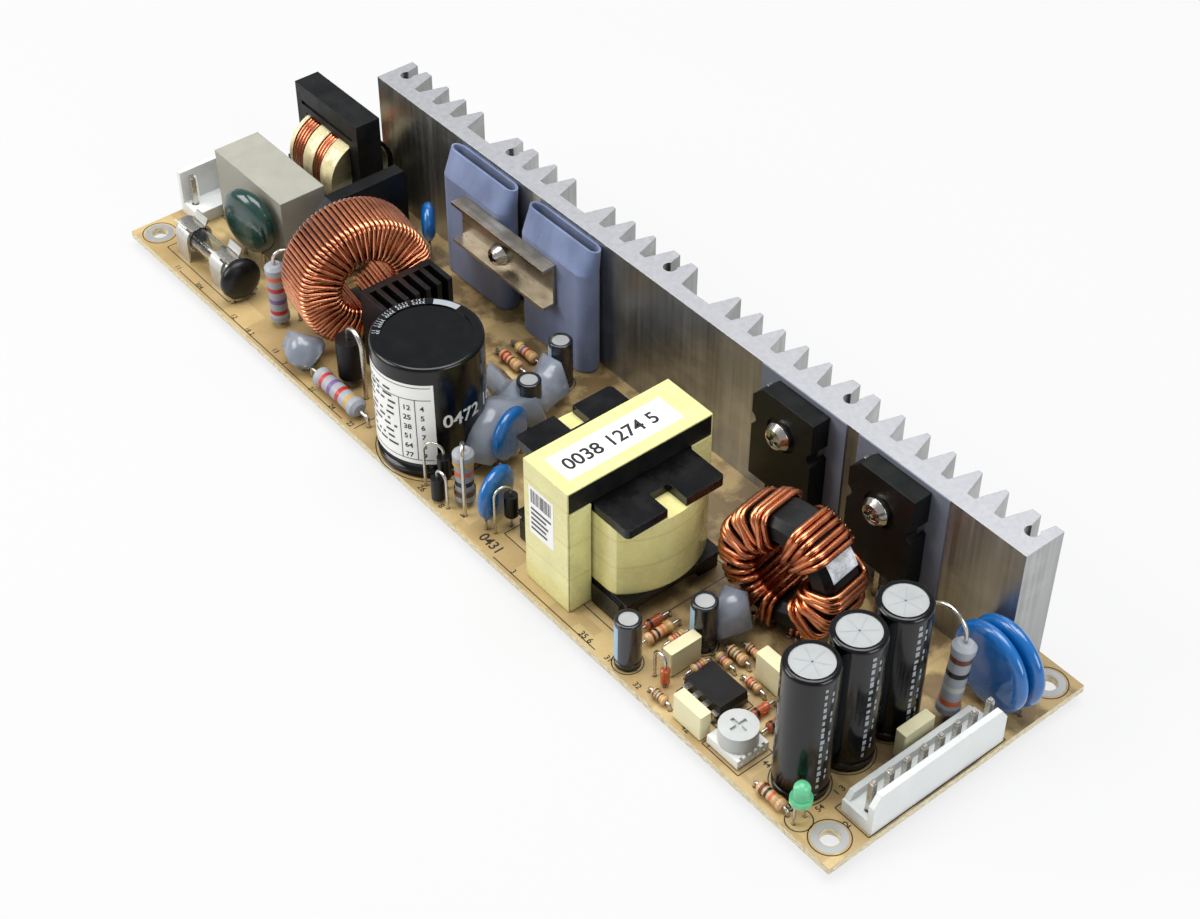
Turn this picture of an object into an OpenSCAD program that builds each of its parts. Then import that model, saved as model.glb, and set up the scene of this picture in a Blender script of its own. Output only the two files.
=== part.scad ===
// Open frame power supply: a single sided circuit board with the mains input at its -X end,
// the low voltage output at its +X end and an extruded heat sink along its back (+Y) edge.
// The origin lies under the middle of the board, level with the tips of the solder joints.

/* [Circuit board] */
// Length of the circuit board along X
board_l = 222; // [220:1:240]
// Width of the circuit board along Y
board_w = 62; // [61:1:72]
// Thickness of the circuit board
board_t = 1.6; // [1:0.1:2.4]
// Distance of each mounting hole from the two board edges beside it
mount_inset = 4.5; // [4:0.1:5.5]
// Diameter of the four mounting holes
mount_d = 3.6; // [3:0.1:4.2]
// Height of the solder joints under the board
solder_h = 2; // [1.9:0.1:3]
// Diameter of the foot of a solder joint
solder_d = 1.9; // [1.6:0.1:1.95]

/* [Heat sink] */
// Length of the heat sink
sink_l = 187.8; // [186:0.2:190]
// Distance from the input end of the board to the heat sink
sink_from_end = 24.3; // [23:0.1:26]
// Height of the heat sink
sink_h = 31; // [30.6:0.1:36]
// Thickness of the plate that the fins stand on
sink_plate = 3.5; // [3:0.1:4]
// Depth of the fins
fin_depth = 5.8; // [5.4:0.1:6]
// Width of a fin at its tip
fin_tip = 0.9; // [0.5:0.1:1.4]
// Width of a fin at its root
fin_root = 4.6; // [3:0.1:5.4]
// Gap between the fin tips and the back edge of the board
sink_to_edge = 0.9; // [0.6:0.1:1.2]
// Bore of the screw channels in the heat sink
channel_d = 2.8; // [2.4:0.1:3]

/* [Transistors and clip] */
// Width of an insulating sleeve
sleeve_w = 21.5; // [20:0.1:22]
// Thickness of an insulating sleeve round its transistor
sleeve_t = 5.5; // [5.4:0.1:6]
// Thickness of a sleeve at its flattened upper end
sleeve_flat_t = 3; // [2.2:0.1:4]
// Wall of an insulating sleeve
sleeve_wall = 0.5; // [0.3:0.05:0.5]
// Gap between the two sleeves, where the clip screw passes
sleeve_gap = 5; // [4:0.1:5.4]
// Height of the upper end of the sleeves above the board
sleeve_top = 30; // [27:0.5:30.5]
// Length of the steel clip bar
clip_l = 30.4; // [24:0.2:36]
// Height of the clip bar
clip_h = 10.2; // [8:0.2:12]
// Depth of the clip bar's flanges
clip_depth = 3.4; // [2.4:0.1:4]
// Thickness of the clip bar's steel
clip_t = 0.8; // [0.6:0.1:1]
// Height of the clip screw above the board
clip_z = 18.5; // [16:0.5:20]

/* [Output rectifiers] */
// Width of a rectifier package
rect_w = 15.7; // [15:0.1:16.2]
// Height of a rectifier package
rect_h = 22; // [20:0.1:22.4]
// Thickness of a rectifier package
rect_t = 4.2; // [3.8:0.1:5]
// Distance of the package's top from the heat sink's top
rect_drop = 0.9; // [0.6:0.1:2]
// Thickness of a thermal pad
pad_t = 0.3; // [0.2:0.05:0.5]
// Width of a thermal pad
pad_w = 22.2; // [18:0.1:23]
// Distance between the two rectifiers
rect_pitch = 25.2; // [24:0.1:27]

/* [Connectors] */
// Distance between neighbouring connector contacts
pin_pitch = 3.96; // [3.9:0.01:4]
// Width of a square connector pin
pin_w = 1.1; // [0.9:0.05:1.2]
// Height of the connector pins above the board
pin_h = 10.2; // [9.5:0.1:11]
// Depth of a connector base
header_w = 7; // [6.6:0.1:7]
// Thickness of a connector wall
header_wall = 1.2; // [1:0.1:1.4]
// Height of a connector base
header_base = 2.8; // [2:0.1:3.4]
// Height of the input connector's wall
inlet_wall_h = 10.7; // [9:0.1:12]
// Height of the output connector's outer wall
outlet_wall_h = 9; // [8:0.1:10]
// Height of the output connector's inner wall
outlet_inner_h = 4.4; // [3.8:0.1:6]
// Number of places in the output connector
outlet_ways = 8; // [6:1:8]

/* [Mains filter] */
// Diameter of the fuse's glass tube
fuse_d = 5; // [4.8:0.1:5.2]
// Length of the fuse
fuse_l = 20; // [18:0.5:20.5]
// Height of the fuse's axis above the board
fuse_z = 5.2; // [4.6:0.1:6]
// Length of the interference capacitor
xcap_l = 26; // [24:0.5:26.5]
// Width of the interference capacitor
xcap_w = 11; // [9:0.5:11]
// Height of the interference capacitor
xcap_h = 17.5; // [15:0.5:19]
// Diameter of the varistor
varistor_d = 14.5; // [12:0.5:15]
// Length of the line filter's core
filter_l = 23.5; // [23:0.1:25]
// Thickness of the line filter's core
filter_t = 6; // [5:0.1:6.4]
// Height of the top of the line filter's core above the board
filter_top = 27; // [26:0.5:29]
// Diameter of the line filter's winding
filter_coil_d = 16.4; // [14:0.1:16.6]

/* [Power factor choke] */
// Outer diameter of the power factor choke's core
pfc_core_d = 27.6; // [26:0.1:28]
// Bore of the power factor choke's core
pfc_bore = 15; // [14.6:0.1:16]
// Thickness of the power factor choke's core
pfc_core_t = 10.4; // [9:0.1:11]
// Diameter of the power factor choke's wire
pfc_wire = 0.86; // [0.6:0.02:0.88]
// Turns on the power factor choke
pfc_turns = 76; // [60:2:78]

/* [Capacitors] */
// Diameter of the mains smoothing capacitor
bulk_d = 22; // [20:0.5:22]
// Height of the mains smoothing capacitor
bulk_h = 27.3; // [25:0.1:30]
// Diameter of the output capacitors
out_cap_d = 10; // [8:0.1:10]
// Height of the output capacitors
out_cap_h = 30; // [25:0.5:31]
// Diameter of the small electrolytic capacitors
small_cap_d = 5; // [4:0.1:5.4]
// Height of the small electrolytic capacitors
small_cap_h = 11.2; // [9:0.1:12]

/* [Transformer] */
// Width of the transformer core along Y
tr_core_w = 33; // [31:0.5:33]
// Height of the transformer core
tr_core_h = 28.8; // [28:0.2:32]
// Thickness of the transformer core along X
tr_core_t = 12.4; // [11:0.1:12.8]
// Width of the core's middle leg
tr_leg = 9.7; // [9:0.1:10.5]
// Thickness of the core's yokes
tr_yoke = 4.6; // [4:0.1:5]
// Length of the bobbin and its winding along X
tr_coil_l = 32; // [30:0.5:32]
// Thickness of the wrapping tape
tape_t = 0.3; // [0.2:0.05:0.35]

/* [Output choke] */
// Outer diameter of the output choke's core
choke_core_d = 25; // [22:0.1:25.2]
// Bore of the output choke's core
choke_bore = 13.6; // [12:0.1:14]
// Thickness of the output choke's core
choke_core_t = 9; // [8:0.1:9.6]
// Diameter of the output choke's wire
choke_wire = 1.1; // [0.8:0.05:1.15]
// Number of wires wound side by side on the output choke
choke_strands = 3; // [2:1:3]
// Turns of the wires on the output choke
choke_turns = 11; // [8:1:11]

/* [Control parts] */
// Diameter of the trimmer's rotor
rotor_d = 7.2; // [6:0.1:7.4]
// Height of the trimmer's rotor
rotor_h = 3.4; // [2.6:0.1:4]
// Diameter of the light emitting diode's dome
led_d = 3; // [2.8:0.1:3.2]
// Angle of the trimmer's rotor from its middle setting
rotor_angle = 0; // [-120:5:120]

/* [Hidden] */
$fn = 48;

// Edges and faces of the board
left = -board_l / 2;
right = board_l / 2;
front = -board_w / 2;
back = board_w / 2;
top = solder_h + board_t;

// Clearances: a cut needs a little more than its face, a fit keeps a little air
cut = 0.5;
fit = 0.1;
seat = 0.3;

// Leads of small parts, and of heavier ones
lead_d = 0.6;
power_lead_d = 0.8;

// Heat sink: the fins stand at one pitch, apart from a few that are left out, and screw
// channels lie between some of the pairs
sink_x = left + sink_from_end;
sink_depth = sink_plate + fin_depth;
sink_face = back - sink_to_edge - sink_depth;
fin_slots = 30;
fin_pitch = (sink_l - fin_tip) / fin_slots;
fins_left_out = [5, 10, 16];
channel_slots = [0, 6, 14, 22, 29];
screwed_channels = [0, 14, 29];
channel_y = sink_face + sink_plate + channel_d / 2 + 0.4;

function fin_x(i) = sink_x + fin_tip / 2 + i * fin_pitch;
function channel_x(i) = fin_x(i + 0.5);

// Transistor sleeves, clip and output rectifiers along the heat sink's face
sleeves_x = sink_x + 29.5;
sleeve_1_x = sleeves_x + sleeve_w / 2;
clip_x = sleeves_x + sleeve_w + sleeve_gap / 2;
sleeve_2_x = clip_x + sleeve_gap / 2 + sleeve_w / 2;
sleeve_y = sink_face - sleeve_t / 2;
clip_back = sink_face - sleeve_t - 0.05;
transistor_w = 10.2;
transistor_h = 15.5;
transistor_t = sleeve_t - 2 * sleeve_wall - fit;
transistor_z = 9;
leg_pitch = 2.54;
rect_x = right - 64.3;
rect_face = sink_face - pad_t;
rect_z = sink_h - rect_drop - rect_h;
rect_leg_pitch = 5.45;
rect_hole_drop = 7.4;
rect_frame_t = 1.6;
rect_xs = [rect_x, rect_x + rect_pitch];
screw_d = 3;

// Connectors
inlet_ways = 5;
inlet_x = left + 0.6 + header_w / 2;
inlet_y = front + 12.8;
outlet_x = right - 0.5 - header_w / 2;
outlet_y = front + 9.9;
inlet_pins = [for (i = [0, 2, 4]) [inlet_x - 0.6, inlet_y + (i + 0.5) * pin_pitch]];
outlet_pins = [for (i = [0:outlet_ways - 1]) [outlet_x + 0.9, outlet_y + (i + 0.5) * pin_pitch]];

// Fuse, thermistor, varistor and interference capacitor at the input end
fuse_at = [left + 22.5, front + 7.2];
fuse_cap_l = 5.6;
fuse_cap_wall = 0.1;
fuse_clip_w = 4.6;
fuse_clip_x = fuse_l / 2 - fuse_cap_l / 2 - 0.4;
thermistor_d = 9;
thermistor_t = 4;
thermistor_z = thermistor_d / 2 + 0.7;
thermistor_at = [fuse_at.x + fuse_l / 2 + thermistor_t / 2 + 1.2, front + 6.4];
xcap_at = [inlet_x + header_w / 2 + 0.7 + xcap_l / 2, front + 24.3];
varistor_t = 4.8;
varistor_at = [left + 26.5, xcap_at.y - xcap_w / 2 - 1 - varistor_t / 2];
varistor_z = 3.6;

// Line filter: a closed core standing on edge, with its lower limb inside the winding
filter_at = [left + 20.7, front + 43.2];
filter_limb = 6.4;
filter_leg = 3.5;
filter_axis_z = 12.1;
filter_gap = fit;
filter_flange = 0.7;
filter_coil_l = filter_l - 2 * filter_leg - 2 * (filter_flange + filter_gap);
filter_low = filter_axis_z - filter_t / 2;
filter_pin_x = filter_l / 2 - 1;
filter_pin_y = 5;

// Bridge rectifier and small ceramic capacitor
bridge_at = [left + 42.9, front + 33.3];
bridge_w = 21.6;
bridge_h = 18.5;
bridge_t = 3.2;
bridge_z = 2.5;
bridge_pitch = 5.08;

// Power factor choke, standing on its rim and turned a little about Z
pfc_at = [left + 60, front + 20.4];
pfc_turn = -10;
pfc_air = 0.12;
pfc_reach = pfc_core_d / 2 + pfc_air + pfc_wire;
pfc_z = pfc_reach + seat;
pfc_open = 24;

// Small black heat sink between the choke and the smoothing capacitor
comb_at = [left + 70, front + 14.5];
comb_l = 17;
comb_depth = 8;
comb_h = 18.7;
comb_plate = 1.6;
comb_fins = 7;
comb_fin_t = 1.1;

// Smoothing capacitor at the front edge
bulk_at = [left + 98, front + 0.2 + bulk_d / 2];
bulk_pitch = 10;

// Transformer
tr_at = [left + 144.8, front + 19.6];
tr_z = tape_t + 0.1;
tr_window = tr_core_h - 2 * tr_yoke;
tr_side_leg = 4.8;
tr_inner_w = tr_core_w - 2 * tr_side_leg;
tr_coil_w = tr_inner_w - 0.8;
tr_low = tr_z + tr_yoke + fit;
tr_high = tr_z + tr_core_h - tr_yoke - fit;
tr_plate = 0.8;
tr_flange = 1.9;
tr_tube_wall = 0.9;
tr_rail_w = 7.6;
tr_rail_inset = 1.5;
tr_pins_a_side = 5;
tr_pin_pitch = 5;
tr_pin_d = 0.9;
tr_pin_x = tr_coil_l / 2 - tr_rail_inset - tr_rail_w / 2;
tr_pins = [for (s = [-1, 1], i = [0:tr_pins_a_side - 1])
    [tr_at.x + s * tr_pin_x, tr_at.y + (i - (tr_pins_a_side - 1) / 2) * tr_pin_pitch]];

// Output choke, standing on its rim with its axis nearly along Y
choke_at = [left + 177, front + 32.8];
choke_turn = -82;
choke_air = 0.12;
choke_reach = choke_core_d / 2 + choke_air + choke_wire;
choke_z = choke_reach + seat;

// Output capacitors in a row
out_cap_x = right - 16.2;
out_cap_y = front + 3.8 + out_cap_d / 2;
out_cap_pitch = out_cap_d + 0.5;
out_caps = [for (i = [0:2]) [out_cap_x, out_cap_y + i * out_cap_pitch]];
out_cap_leads = 5;

// Small electrolytic capacitors
small_caps = [
    [left + 167, front + 3.4], [left + 172.2, front + 16.6],
    [left + 100.3, front + 41.5], [left + 105.8, front + 29.2]
];
small_cap_leads = 2;

// Ceramic disc capacitors: [x, y, height of the centre, diameter, thickness, turn about Z, pitch]
discs = [
    [left + 50.5, back - 17, 10.5, 8.6, 3, -35, 5],
    [left + 112.9, front + 18.9, 8, 11.2, 2.8, 110, 7.5],
    [left + 123, front + 7.8, 6.6, 11.2, 2.8, 110, 7.5],
    [right - 8.4, sink_face - 6.4, 9.7, 17.6, 2.8, -5, 10],
    [right - 7.5, sink_face - 3.2, 9.7, 17.6, 2.8, -5, 10]
];

// Standing axial parts: [x, y, foot x, foot y, body base, body length, body diameter, wire diameter]
standing_resistors = [
    [left + 48, front + 8, left + 49.6, front + 11.8, 1, 14.6, 4.2, power_lead_d],
    [left + 116, front + 5.6, left + 118.8, front + 3.4, 1, 12.6, 4.2, power_lead_d]
];
standing_diodes_at = [
    [left + 73.2, front + 8.8, left + 79, front + 8.2, 2.4, 9.2, 5.4, 1],
    [left + 110.5, front + 4.9, left + 107.3, front + 2.5, 3.4, 5, 2.7, lead_d],
    [left + 112.2, front + 2, left + 115.1, front + 2, 0.8, 5, 2.7, lead_d],
    [left + 126.6, front + 8.6, left + 126.2, front + 5, 3, 5, 2.7, lead_d]
];

// The last power resistor leans back towards the heat sink
lean_at = [right - 10.2, front + 37.6];
lean_angle = 7;
lean_l = 16.2;
lean_d = 4.4;
lean_base = 2.2;
lean_foot = [right - 18.7, front + 39.4];
lean_tip = [lean_at.x, lean_at.y + sin(lean_angle) * (lean_l + 0.3)];
lean_tip_z = lean_base + cos(lean_angle) * (lean_l + 0.3);

// Lying power resistor: [x, y, body length, body diameter, distance between its leads]
lying_resistor = [left + 76.4, front + 3.6, 14.4, 4.2, 20];

// Small lying parts: [x, y, turn about Z, body length, body diameter, distance between leads]
small_resistors_at = [
    [right - 56, front + 11.5, 90, 6, 2.3, 10], [right - 53.2, front + 13.4, 90, 3.4, 1.8, 6],
    [right - 43.8, front + 16.2, 0, 3.4, 1.8, 6], [right - 43, front + 18.8, 0, 4.2, 2.2, 6.4],
    [right - 42, front + 21.8, 0, 3.4, 1.8, 6], [right - 36.2, front + 16.4, 0, 3.4, 1.8, 6],
    [right - 45.6, front + 11.8, 90, 3.4, 1.8, 6], [right - 44.6, front + 2, 0, 3.4, 1.8, 5.6],
    [right - 16.2, front + 2.1, 0, 6, 2.3, 8], [left + 89.5, front + 37, 0, 6, 2.3, 10],
    [left + 89.5, front + 41, 0, 6, 2.3, 10]
];
glass_diodes_at = [
    [right - 58.8, front + 12.6, 90, 3.8, 1.8, 8], [right - 31.2, front + 13.4, 90, 3.8, 1.8, 7],
    [right - 27.4, front + 13.5, 90, 3.8, 1.8, 7]
];
// Standing glass diode beside the film capacitors
glass_standing = [right - 46.6, front + 4.9, right - 49.6, front + 5.1, 0.8, 3.8, 1.8, lead_d];

// Film capacitors: [x, y, turn about Z, length, width, height]
films = [
    [right - 48.5, front + 10.4, 90, 7.2, 2.5, 6], [right - 36.8, front + 2.5, 0, 7.2, 2.5, 6],
    [right - 34.4, front + 19.6, 0, 7.2, 2.8, 6.8], [right - 9.2, front + 28.4, 90, 7.2, 2.4, 6.8]
];
film_leads = 5;

// Control circuit in an eight pin package
ic_at = [right - 38.8, front + 9.8];
ic_l = 9.6;
ic_w = 6.3;
ic_h = 3.4;
ic_z = 0.6;
ic_row = 7.62;

// Trimmer and light emitting diode
trimmer_at = [right - 28.4, front + 5.6];
trimmer_l = 7.8;
trimmer_w = 7.2;
trimmer_h = 1.9;
trimmer_shaft_d = 2.4;
rotor_air = 0.15;
led_at = [right - 10.3, front + 3];
led_pitch = 2.54;
led_z = 5.2;

// Silicone beads: [x, y, radius, height]
beads = [
    [left + 62, front + 4.2, 3.4, 7.4], [left + 109.6, front + 16.6, 5.4, 12],
    [left + 95.4, front + 29.6, 3.9, 7.4], [left + 99.1, front + 37.2, 3.8, 7],
    [left + 173, front + 22, 3.4, 11]
];

// Every wire of a small part as [x, y, diameter, height above the board]
function pair(at, pitch, turn, d, rise) = [for (s = [-1, 1])
    [at.x + s * cos(turn) * pitch / 2, at.y + s * sin(turn) * pitch / 2, d, rise]];
function lying_z(d) = d / 2 + seat;
function both(lists) = [for (list = lists, item = list) item];

wires = both([
    pair(varistor_at, 7.5, 0, power_lead_d,
         disc_foot(varistor_z + varistor_d / 2, varistor_d, 7.5, power_lead_d)),
    pair(thermistor_at, 5, 90, power_lead_d,
         disc_foot(thermistor_z, thermistor_d, 5, power_lead_d)),
    pair(xcap_at, 22.5, 0, power_lead_d, seat),
    pair(bulk_at, bulk_pitch, 0, 1.2, seat),
    both([for (c = discs) pair(c, c[6], c[5], lead_d, disc_foot(c[2], c[3], c[6], lead_d))]),
    both([for (c = small_caps) pair(c, small_cap_leads, 0, lead_d, seat)]),
    both([for (c = out_caps) pair(c, out_cap_leads, 0, power_lead_d, seat)]),
    both([for (c = films) pair(c, film_leads, c[2], lead_d, seat)]),
    pair(led_at, led_pitch, 90, 0.5, led_z)
]);
axial_holes = both([
    both([for (r = small_resistors_at) pair(r, r[5], r[2], lead_d, 0)]),
    both([for (r = glass_diodes_at) pair(r, r[5], r[2], lead_d, 0)]),
    pair(lying_resistor, lying_resistor[4], 0, power_lead_d, 0)
]);
// Height at which a wire beside the middle of a disc first meets its rim
function disc_foot(z, d, pitch, wire) = z - sqrt(pow(d / 2, 2) - pow((pitch - wire) / 2, 2));

// Standing parts have one wire under the body and one that loops over to its foot
standing = concat(standing_resistors, standing_diodes_at, [glass_standing]);
standing_holes = both([for (s = standing) [[s[0], s[1], s[7]], [s[2], s[3], s[7]]]]);

// Choke ends: a vertical wire beside the winding at each side of its rim
function turned(at, turn, along, across) =
    [at.x + along * cos(turn) - across * sin(turn), at.y + along * sin(turn) + across * cos(turn)];
// Where an upright winding's wire at one angle and place of its path stands over the board, and
// how high its lower side lies there
function wire_end(at, z, turn, p, angle, d) =
    concat(turned(at, turn, p[1], p[0] * sin(angle)), [d, z - p[0] * cos(angle) - d / 2]);

pfc_half = pfc_core_t / 2 + pfc_air + pfc_wire / 2;
pfc_rim = pfc_core_d / 2 + pfc_air + pfc_wire / 2;
pfc_bevel = 1.3;
pfc_step = (360 - pfc_open) / pfc_turns;
pfc_path = turn_path(pfc_bore / 2 - pfc_air - pfc_wire / 2, pfc_rim, pfc_half, pfc_bevel, 0);
pfc_path_over = turn_path(pfc_bore / 2 - pfc_air - pfc_wire * 1.5 - 0.06, pfc_rim, pfc_half,
                          pfc_bevel, pfc_wire + 0.06);
pfc_ends = [
    wire_end(pfc_at, pfc_z, pfc_turn, pfc_path[0], pfc_open / 2, pfc_wire),
    wire_end(pfc_at, pfc_z, pfc_turn, pfc_path_over[7], -pfc_open / 2 - pfc_step / 8, pfc_wire)
];

choke_bevel = 1.6;
choke_strand = 8.6;
choke_path = turn_path(choke_bore / 2 - choke_air - choke_wire / 2,
                       choke_core_d / 2 + choke_air + choke_wire / 2,
                       choke_core_t / 2 + choke_air + choke_wire / 2, choke_bevel, 0);
choke_ends = [for (strand = [0:choke_strands - 1], e = [0, 1])
    wire_end(choke_at, choke_z, choke_turn, choke_path[e * 7],
             choke_angle(e * (choke_turns - 1 / 8)) + strand * choke_strand, choke_wire)];

// The wires run side by side, with a bare stretch of core left in the winding
function choke_angle(turn) = 14 + turn * 26.5 + (turn > 6.5 ? min(1, turn - 6.5) * 22 : 0);

transistor_legs = [for (x = [sleeve_1_x, sleeve_2_x], i = [-1, 0, 1])
    [x + i * leg_pitch, sleeve_y]];
rect_legs = [for (x = rect_xs, i = [-1, 0, 1]) [x + i * rect_leg_pitch, rect_face - 2.2]];
ic_legs = [for (s = [-1, 1], i = [0:3])
    [ic_at.x + (i - 1.5) * leg_pitch, ic_at.y + s * ic_row / 2]];
bridge_legs = [for (i = [0:3]) [bridge_at.x, bridge_at.y + (i - 1.5) * bridge_pitch]];
filter_legs = [for (a = [-1, 1], b = [-1, 1])
    [filter_at.x + a * filter_pin_x, filter_at.y + b * filter_pin_y]];
fuse_legs = [for (a = [-1, 1], b = [-1, 1])
    [fuse_at.x + a * fuse_clip_x, fuse_at.y + b * 2.4]];
trimmer_legs = [for (s = [-1, 0, 1]) [trimmer_at.x + s * 2.54, trimmer_at.y + (s == 0 ? 2.4 : -2.4)]];
comb_legs = [for (s = [-1, 1]) [comb_at.x + comb_plate / 2, comb_at.y + comb_l / 2 + s * 6]];

// Holes in the board: [x, y, diameter of what passes]
holes = concat(
    [for (w = concat(wires, axial_holes)) [w.x, w.y, w[2]]],
    standing_holes,
    pfc_ends,
    choke_ends,
    [[lean_at.x, lean_at.y, power_lead_d], [lean_foot.x, lean_foot.y, power_lead_d]],
    [for (p = concat(inlet_pins, outlet_pins)) [p.x, p.y, pin_w * sqrt(2)]],
    [for (p = tr_pins) [p.x, p.y, tr_pin_d]],
    [for (p = transistor_legs) [p.x, p.y, 0.9]],
    [for (p = rect_legs) [p.x, p.y, 1.4]],
    [for (p = ic_legs) [p.x, p.y, 0.7]],
    [for (p = bridge_legs) [p.x, p.y, 1.1]],
    [for (p = filter_legs) [p.x, p.y, 0.8]],
    [for (p = fuse_legs) [p.x, p.y, 1.3]],
    [for (p = trimmer_legs) [p.x, p.y, 0.6]],
    [for (p = comb_legs) [p.x, p.y, 1]]
);

// ---------------------------------------------------------------- helpers

// Places what follows on the board's upper face
module on_board(at, z = 0) {
    translate([at.x, at.y, top + z]) children();
}

// Bar between two heights, of a round section
module post(at, d, low, high) {
    on_board(at, low) cylinder(d = d, h = high - low);
}

// Box standing on its middle
module block(w, d, h) {
    translate([-w / 2, -d / 2, 0]) cube([w, d, h]);
}

// Flat outline with two round ends
module stadium(w, d) {
    square([w - d, d], center = true);
    for (s = [-1, 1]) translate([s * (w - d) / 2, 0]) circle(d = d);
}

// Rectangle with round corners
module rounded(w, d, r) {
    square([w - 2 * r, d], center = true);
    square([w, d - 2 * r], center = true);
    for (a = [-1, 1], b = [-1, 1]) translate([a * (w / 2 - r), b * (d / 2 - r)]) circle(r = r);
}

// Body of a power resistor or diode: a cylinder with rounded end caps, standing on z = 0
module barrel(l, d, cap) {
    r = d / 2;
    edge = r * 0.35;
    waist = r - cap;
    rotate_extrude() polygon([
        [0, 0], [r - edge, 0], [r, edge], [r, r * 0.9], [waist, r * 1.2], [waist, l - r * 1.2],
        [r, l - r * 0.9], [r, l - edge], [r - edge, l], [0, l]
    ]);
}

// Can of an electrolytic capacitor: rolled groove near the foot, rounded shoulder, sunk lid
module can(d, h, groove_z, lid_d) {
    r = d / 2;
    round_r = min(0.8, r * 0.16);
    groove = r * 0.06;
    rotate_extrude() difference() {
        union() {
            square([r - round_r, h]);
            square([r, h - round_r]);
            translate([r - round_r, h - round_r]) circle(r = round_r);
        }
        translate([r + groove, groove_z]) circle(r = groove * 2.2);
        translate([-cut, h - 0.25]) square([lid_d / 2 + cut, 1]);
        translate([-r, -cut]) square([r, h + 2 * cut]);
    }
}

// Half ring of wire that joins two upright wires, a hair thicker where it was bent
module loop(from, to, z, d) {
    bend_d = d + 0.02;
    span = [to.x - from.x, to.y - from.y];
    reach = norm(span) / 2;
    on_board([(from.x + to.x) / 2, (from.y + to.y) / 2], z)
        rotate([0, 0, atan2(span.y, span.x)])
            rotate([90, 0, 0]) rotate_extrude(angle = 180) translate([reach, 0]) circle(d = bend_d);
}

// Pan head screw along +Z from the origin, head below it, with a crossed recess
module pan_screw(d, l, head_d, head_h) {
    recess = head_d * 0.5;
    slot_w = head_d * 0.16;
    cylinder(d = d, h = l);
    mirror([0, 0, 1]) difference() {
        rotate_extrude() polygon([
            [0, 0], [head_d / 2, 0], [head_d / 2, head_h * 0.45],
            [head_d * 0.36, head_h * 0.86], [head_d * 0.2, head_h], [0, head_h]
        ]);
        for (a = [0, 90]) rotate([0, 0, a])
            translate([-recess / 2, -slot_w / 2, head_h * 0.45]) cube([recess, slot_w, head_h]);
    }
}

// ---------------------------------------------------------------- wire wound on a toroid

// Corners of one turn around the core's section as [radius, height, normal]: down the rim,
// over one face, up the bore and back over the other face
function turn_path(bore_r, rim_r, half, bevel, lift) = [
    [rim_r, half - bevel, [1, 0.41]], [rim_r, -half + bevel, [1, -0.41]],
    [rim_r - bevel, -half, [0.41, -1]], [bore_r + bevel, -half - lift, [-0.41, -1]],
    [bore_r, -half + bevel, [-1, -0.41]], [bore_r, half - bevel, [-1, 0.41]],
    [bore_r + bevel, half + lift, [-0.41, 1]], [rim_r - bevel, half, [0.41, 1]]
];

// One ring of the wire's surface, with its middle at [radius, height] and angle a
function wire_ring(p, a, r, sides) = [for (i = [0:sides - 1])
    let (s = r * sin(i * 360 / sides), n = r * cos(i * 360 / sides))
        [(p[0] + n * p[2][0]) * cos(a) - s * sin(a),
         (p[0] + n * p[2][0]) * sin(a) + s * cos(a),
         p[1] + n * p[2][1]]];

// A wire as one swept solid: rings is a list of rings that all have the same number of points
module wire(rings) {
    n = len(rings[0]);
    m = len(rings);
    polyhedron(
        points = [for (ring = rings, p = ring) p],
        faces = concat(
            [[for (i = [0:n - 1]) i]],
            [for (j = [0:m - 2], i = [0:n - 1])
                [j * n + i, (j + 1) * n + i, (j + 1) * n + (i + 1) % n, j * n + (i + 1) % n]],
            [[for (i = [n - 1:-1:0]) (m - 1) * n + i]]
        ),
        convexity = 10
    );
}

// ---------------------------------------------------------------- board and solder

module circuit_board() {
    color("#c9a25e") translate([0, 0, solder_h]) linear_extrude(board_t) difference() {
        square([board_l, board_w], center = true);
        for (a = [-1, 1], b = [-1, 1])
            translate([a * (board_l / 2 - mount_inset), b * (board_w / 2 - mount_inset)])
                circle(d = mount_d);
        for (i = screwed_channels) translate([channel_x(i), channel_y]) circle(d = screw_d + 0.4);
        for (h = holes) translate([h.x, h.y]) circle(d = h[2] + 0.2);
    }
}

// Each joint is a cone of solder with the end of the lead standing out of it
module solder_joints() {
    tip = 0.9;
    color("silver") for (h = holes) translate([h.x, h.y, 0]) {
        cylinder(d = tip, h = 0.8);
        translate([0, 0, 0.8]) cylinder(d1 = tip, d2 = solder_d, h = solder_h - 0.8);
    }
}

// ---------------------------------------------------------------- heat sink

module fin_outline(i) {
    base = sink_plate - fit;
    translate([fin_x(i), sink_face]) polygon([
        [-fin_root / 2, base], [fin_root / 2, base],
        [fin_tip / 2, sink_depth], [-fin_tip / 2, sink_depth]
    ]);
}

// A screw channel is a bore between two fins, open towards their tips
module channel_wall(i) {
    translate([fin_x(i), sink_face + sink_plate - fit]) square([fin_pitch, fin_depth + fit]);
}

module channel_cut(i) {
    mouth = fin_pitch * 0.32;
    translate([channel_x(i), channel_y]) {
        circle(d = channel_d);
        polygon([
            [-channel_d * 0.28, 0], [channel_d * 0.28, 0],
            [mouth, fin_depth], [-mouth, fin_depth]
        ]);
    }
}

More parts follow.
